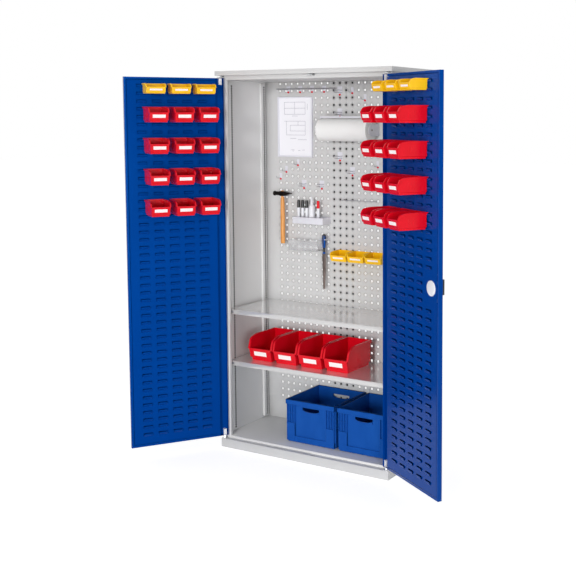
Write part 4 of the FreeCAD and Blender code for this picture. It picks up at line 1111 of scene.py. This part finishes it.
COLLAR_PROFILE = ((0.45, 0), (0.64, 0.01), (0.64, 0.09), (0.5, 0.1))
BARREL_PROFILE = ((0, 0), (1, 0), (1, 0.66), (0.9, 0.67), (0, 0.67))
CAP_PROFILE = ((0, 0.66), (0.96, 0.66), (1, 0.7))
CAP_END = ((0.86, -0.3), (0.6, 0), (0, 0))
BOTTLE_PROFILE = ((0, 0), (0.9, 0), (1, 0.015), (1, 0.6), (0.94, 0.65), (0.6, 0.7), (0.42, 0.72),
                  (0.42, 0.74), (0.52, 0.745), (0.5, 0.86), (0.3, 0.9), (0.14, 0.995), (0.08, 1), (0, 1))


def hammer():
    """Turned oval handle, and a head with a round face, a neck, an eye block and a wedge."""
    centre = centre_of("hammer_handle")
    bm = bmesh.new()
    oval = upright(centre) @ Matrix.Diagonal((1, HANDLE_OVAL, 1, 1))
    lathe(bm, scaled(HANDLE_PROFILE, *round_size("hammer_handle")), oval, segments=40)
    piece("hammer_handle_turned", bm, "wood", ("hammer_handle",))
    lo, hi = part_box("hammer_head")
    r = (hi.z - lo.z) / 2
    z = (hi.z + lo.z) / 2
    neck = centre.x - lo.x - r * HEAD_NECK_GAP
    near = centre.y - r * HEAD_CHEEK
    far = centre.y + r * HEAD_CHEEK
    bm = bmesh.new()
    face = scaled(HEAD_FACE, r, 0, r) + [(r * HEAD_NECK, neck), (0, neck)]
    lathe(bm, face, along(X_AXIS, (lo.x, centre.y, z)), segments=32)
    block(bm, (centre.x - r * HEAD_EYE, near, z - r), (centre.x + r * HEAD_EYE, far, z + r))
    xs = (centre.x + r, hi.x, hi.x, centre.x + r)
    prism(bm, [(x, near, z + r * share) for x, share in zip(xs, HEAD_PEEN)], (0, far - near, 0))
    piece("hammer_head_forged", bm, "steel", ("hammer_head",), look=BLACK_STEEL, bevel=HEAD_SOFT)


def file_tool():
    """Two-colour grip of a flat file."""
    place = upright(centre_of("file_grip"))
    r, low, h = round_size("file_grip")
    bm = bmesh.new()
    lathe(bm, scaled(GRIP_PROFILE, r, low, h), place, segments=36)
    piece("file_grip_moulded", bm, "black_plastic", ("file_grip",))
    bm = bmesh.new()
    outline = [(x, -r * INLAY_HALF_W, z) for x, z in scaled(INLAY_OUTLINE, r, low, h)]
    for k in range(INLAYS):
        spin = Matrix.Rotation((k + 0.5) * 2 * math.pi / INLAYS, 4, "Z")
        prism(bm, outline, (0, 2 * r * INLAY_HALF_W, 0), place @ spin)
    lathe(bm, scaled(COLLAR_PROFILE, r, low, h), place, segments=36)
    piece("file_grip_inlay", bm, "blue_plastic", bevel=THIN_SOFT)


PEN_R = 0.0088
PEN_X = (-0.256, -0.230, -0.204, -0.132)


def pens():
    """White markers with dark caps, the last one's cap red."""
    lo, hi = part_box("pens")
    y = (lo.y + hi.y) / 2
    h = hi.z - lo.z
    barrels, dark, red = bmesh.new(), bmesh.new(), bmesh.new()
    cap = scaled(CAP_PROFILE, PEN_R, lo.z, h) + scaled(CAP_END, PEN_R, hi.z, PEN_R)
    for x in PEN_X:
        place = moved(x, y, 0)
        lathe(barrels, scaled(BARREL_PROFILE, PEN_R, lo.z, h), place, segments=24)
        lathe(red if x == PEN_X[-1] else dark, cap, place, segments=24)
    piece("pens_barrels", barrels, "white_plastic", ("pens",))
    piece("pens_black_caps", dark, "black_plastic")
    piece("pens_red_cap", red, "red_plastic")


def bottle():
    bm = bmesh.new()
    lathe(bm, scaled(BOTTLE_PROFILE, *round_size("bottle")), upright(centre_of("bottle")), segments=36)
    piece("bottle_blown", bm, "white_plastic", ("bottle",))


# Plates of hooks and clips, and how far below their middle the wire and the red tip sit
Plate = namedtuple("Plate", "half_w half_h thick wire_down tip_down")
RAIL_PLATE = Plate(0.012, 0.014, 0.0025, 0.004, 0.018)
HOOK_PLATE = Plate(0.008, 0.016, 0.002, 0.011, 0.016)
CLIP_PLATE = Plate(0.015, 0.020, 0.002, 0.0, 0.023)
TIP_PROFILE = ((0, 0), (0.005, 0), (0.0056, 0.002), (0.0048, 0.005), (0, 0.006))
WIRE_R = 0.0016
HOOK_OUT = 0.038
HOOK_UP = 0.012
HOOK_LEAN = 0.3
HOOK_ROUND = 0.006
RAIL_Z = 1.868
RAIL_R = 0.003
RAIL_OUT = 0.004
RAIL_FIRST_X = -0.344
RAIL_HOOKS = 4
RAIL_HOOK_PITCH = 2 * HOLE_PITCH
# Column and row of the hole that each single hook or clip hangs on
SINGLE_HOOKS = ((3, 11), (1, 12), (0, 13), (12, 1), (14, 2), (16, 11))
TOOL_CLIPS = ((4, 14), (7, 14), (10, 4), (10, 10), (12, 12), (10, 1))
# Half of a clip's spring: across from its middle, and out from the back
CLIP_ARM = ((0.013, 0), (0.013, 0.016), (0.017, 0.030), (0.010, 0.041))
CLIP_ROUND = 0.008
CLIP_WIRE_GAP = 0.012
PLATE_SOFT = 0.0006


def base_plate(plates, tips, plate, x, z):
    """Plate on the back with the red tip that locks it."""
    block(plates, (x - plate.half_w, PANEL_Y - plate.thick, z - plate.half_h),
          (x + plate.half_w, PANEL_Y, z + plate.half_h))
    lathe(tips, TIP_PROFILE, along(-Y_AXIS, (x, PANEL_Y, z - plate.tip_down)), segments=20)


def wire_hook(bm, x, z):
    end = PANEL_Y - HOOK_OUT
    path = ((x, PANEL_Y, z), (x, end, z), (x, end - HOOK_UP * HOOK_LEAN, z + HOOK_UP))
    tube(bm, rounded(path, HOOK_ROUND), WIRE_R)


def hooks_and_clips():
    """Rail with its hooks, single hooks and spring clips, with their wires and red locks."""
    lo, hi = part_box("hook_rail")
    rail, plates, wires, tips = bmesh.new(), bmesh.new(), bmesh.new(), bmesh.new()
    tube(rail, [(x, PANEL_Y - RAIL_OUT, RAIL_Z) for x in (lo.x, hi.x)], RAIL_R)
    hooks = [(RAIL_PLATE, RAIL_FIRST_X + k * RAIL_HOOK_PITCH, RAIL_Z) for k in range(RAIL_HOOKS)]
    hooks += [(HOOK_PLATE, *hole_at(i, j)) for i, j in SINGLE_HOOKS]
    for plate, x, z in hooks:
        base_plate(plates, tips, plate, x, z)
        wire_hook(wires, x, z - plate.wire_down)
    for i, j in TOOL_CLIPS:
        x, z = hole_at(i, j)
        base_plate(plates, tips, CLIP_PLATE, x, z)
        for side in (-1, 1):
            arm = rounded([(x + side * across, PANEL_Y - out, z) for across, out in CLIP_ARM], CLIP_ROUND)
            tube(wires, arm, WIRE_R)
            tube(wires, [p - Z_AXIS * CLIP_WIRE_GAP for p in arm], WIRE_R)
    piece("hook_rail_bar", rail, "zinc", ("hook_rail",), look=WIRE_GREY)
    piece("hooks_and_clips_plates", plates, "hook_paint", ("hooks_and_clips",), bevel=PLATE_SOFT)
    piece("hooks_and_clips_wires", wires, "zinc", look=WIRE_GREY)
    piece("hooks_and_clips_locks", tips, "red_plastic")


BAR_WIRES = 2
BAR_WIRE_PITCH = 0.012
BAR_WIRE_IN = 0.002
BAR_LEG_IN = 0.006
BAR_STAY_IN = 0.008
BAR_ROUND = 0.01


def tool_bar():
    """Two long wires side by side that stand off the back, and the stay at their other end."""
    lo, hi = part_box("tool_bar")
    z = (lo.z + hi.z) / 2
    leg = lo.x + BAR_LEG_IN
    stay = hi.x - BAR_STAY_IN
    front = lo.y + BAR_WIRE_IN
    bm = bmesh.new()
    for k in range(BAR_WIRES):
        y = front + k * BAR_WIRE_PITCH
        tube(bm, rounded(((leg, PANEL_Y, z), (leg, y, z), (hi.x - BAR_WIRE_IN, y, z)), BAR_ROUND), WIRE_R)
    tube(bm, ((stay, front, z), (stay, PANEL_Y, z)), WIRE_R)
    piece("tool_bar_wires", bm, "zinc", ("tool_bar",), look=WIRE_GREY)


# Solids that keep their form, and how far their edges are rounded off
THIN_SOFT = 0.0005
KEPT_FORMS = {"roll_holder": FOLD_SOFT, "document_frame": FOLD_SOFT, "marker_tray": FOLD_SOFT,
              "file_blade": 0.0006, "tool_forks": 0.0006, "parts_box": 0.0008,
              "lock_handle": 0.003, "lock_case": FOLD_SOFT, "rod_guides": FOLD_SOFT}
LOCK_DISC_SOFT = 0.0012


def kept_forms():
    for node, width in KEPT_FORMS.items():
        bevelled(node, width)
    bevelled("lock_disc", LOCK_DISC_SOFT, "white_plastic")


# Studio

FILL_LEVEL = 0.48
BACKGROUND_LEVEL = 1.0
# Place, power and size of the lamps in front
LAMPS = {"key": ((4.0, -20.0, 4.5), 1150.0, 3.0), "front": ((0.9, -5.8, 0.4), 90.0, 1.6),
         "right": ((4.8, -4.6, 0.5), 125.0, 2.2)}
LAMP_AIM = (0.0, 0.0, 0.8)
FLOOR_HALF = 30.0
FLOOR_GLOW = 0.66
FLOOR_WHITE = 0.8


def seen_ray(nodes):
    """One for camera, glossy and transmission rays, zero for the rays that light the object."""
    path = nodes.node("LightPath")
    most = path.outputs["Is Camera Ray"]
    for name in ("Is Glossy Ray", "Is Transmission Ray"):
        larger = nodes.node("Math")
        larger.operation = "MAXIMUM"
        nodes.link(most, larger.inputs[0])
        nodes.link(path.outputs[name], larger.inputs[1])
        most = larger.outputs[0]
    return most


def studio_world():
    """Plain light on the object; camera, mirror and clear rays see the white background."""
    world = bpy.data.worlds.new("studio")
    bpy.context.scene.world = world
    nodes = Nodes(world, clear=True)
    mix = nodes.node("MixShader")
    nodes.link(seen_ray(nodes), mix.inputs["Fac"])
    for k, level in ((1, FILL_LEVEL), (2, BACKGROUND_LEVEL)):
        glow = nodes.node("Background", Color=(1, 1, 1, 1), Strength=level)
        nodes.link(glow.outputs[0], mix.inputs[k])
    nodes.link(mix.outputs[0], nodes.node("OutputWorld").inputs["Surface"])


def studio_floor():
    """Pale floor that stays white and keeps the object's soft shadow."""
    bm = bmesh.new()
    quad(bm, [(a * FLOOR_HALF, b * FLOOR_HALF, 0) for a, b in FOUR_CORNERS])
    material = bpy.data.materials.new("studio_floor")
    nodes = Nodes(material, clear=True)
    glow = nodes.node("Emission")
    scaled_ray = nodes.node("Math")
    scaled_ray.operation = "MULTIPLY"
    scaled_ray.inputs[1].default_value = FLOOR_GLOW
    nodes.link(seen_ray(nodes), scaled_ray.inputs[0])
    nodes.link(scaled_ray.outputs[0], glow.inputs["Strength"])
    matt = nodes.node("BsdfDiffuse", Color=(FLOOR_WHITE, FLOOR_WHITE, FLOOR_WHITE, 1))
    add = nodes.node("AddShader")
    nodes.link(matt.outputs[0], add.inputs[0])
    nodes.link(glow.outputs[0], add.inputs[1])
    nodes.link(add.outputs[0], nodes.node("OutputMaterial").inputs["Surface"])
    mesh_object("studio_floor", bm, material)


def aim(obj, place, direction):
    """Stands a lamp or camera at its place and turns it the way that it looks."""
    obj.location = place
    obj.rotation_mode = "QUATERNION"
    obj.rotation_quaternion = direction.to_track_quat("-Z", "Y")


def lamps():
    """Soft frontal lamps, low enough to shine under the cover and the shelves."""
    for name, (place, power, size) in LAMPS.items():
        data = bpy.data.lights.new(name, "AREA")
        data.energy = power
        data.shape = "SQUARE"
        data.size = size
        aim(linked(name, data), place, Vector(LAMP_AIM) - Vector(place))


def camera():
    data = bpy.data.cameras.new("camera")
    data.lens = CAMERA_LENS
    data.sensor_width = CAMERA_SENSOR
    data.shift_x = CAMERA_SHIFT_X
    data.shift_y = CAMERA_SHIFT_Y
    view = linked("camera", data)
    level = math.cos(CAMERA_PITCH)
    aim(view, CAMERA_AT,
        Vector((-math.sin(CAMERA_YAW) * level, math.cos(CAMERA_YAW) * level, math.sin(CAMERA_PITCH))))
    bpy.context.scene.camera = view


def kept_solids():
    """Nodes whose solid shows as it is take the finish of their slot."""
    for name, obj in frame["nodes"].items():
        if not obj.hide_render:
            obj.data.materials.clear()
            obj.data.materials.append(LOOKS[SLOT_OF[name]])


camera()
carcass()
doors()
goods_bins()
crate("left_crate")
crate("right_crate")
paper_roll()
roll_hubs()
document()
hammer()
file_tool()
pens()
bottle()
hooks_and_clips()
tool_bar()
kept_forms()
kept_solids()
studio_world()
studio_floor()
lamps()

scene = bpy.context.scene
scene.view_settings.view_transform = "Standard"
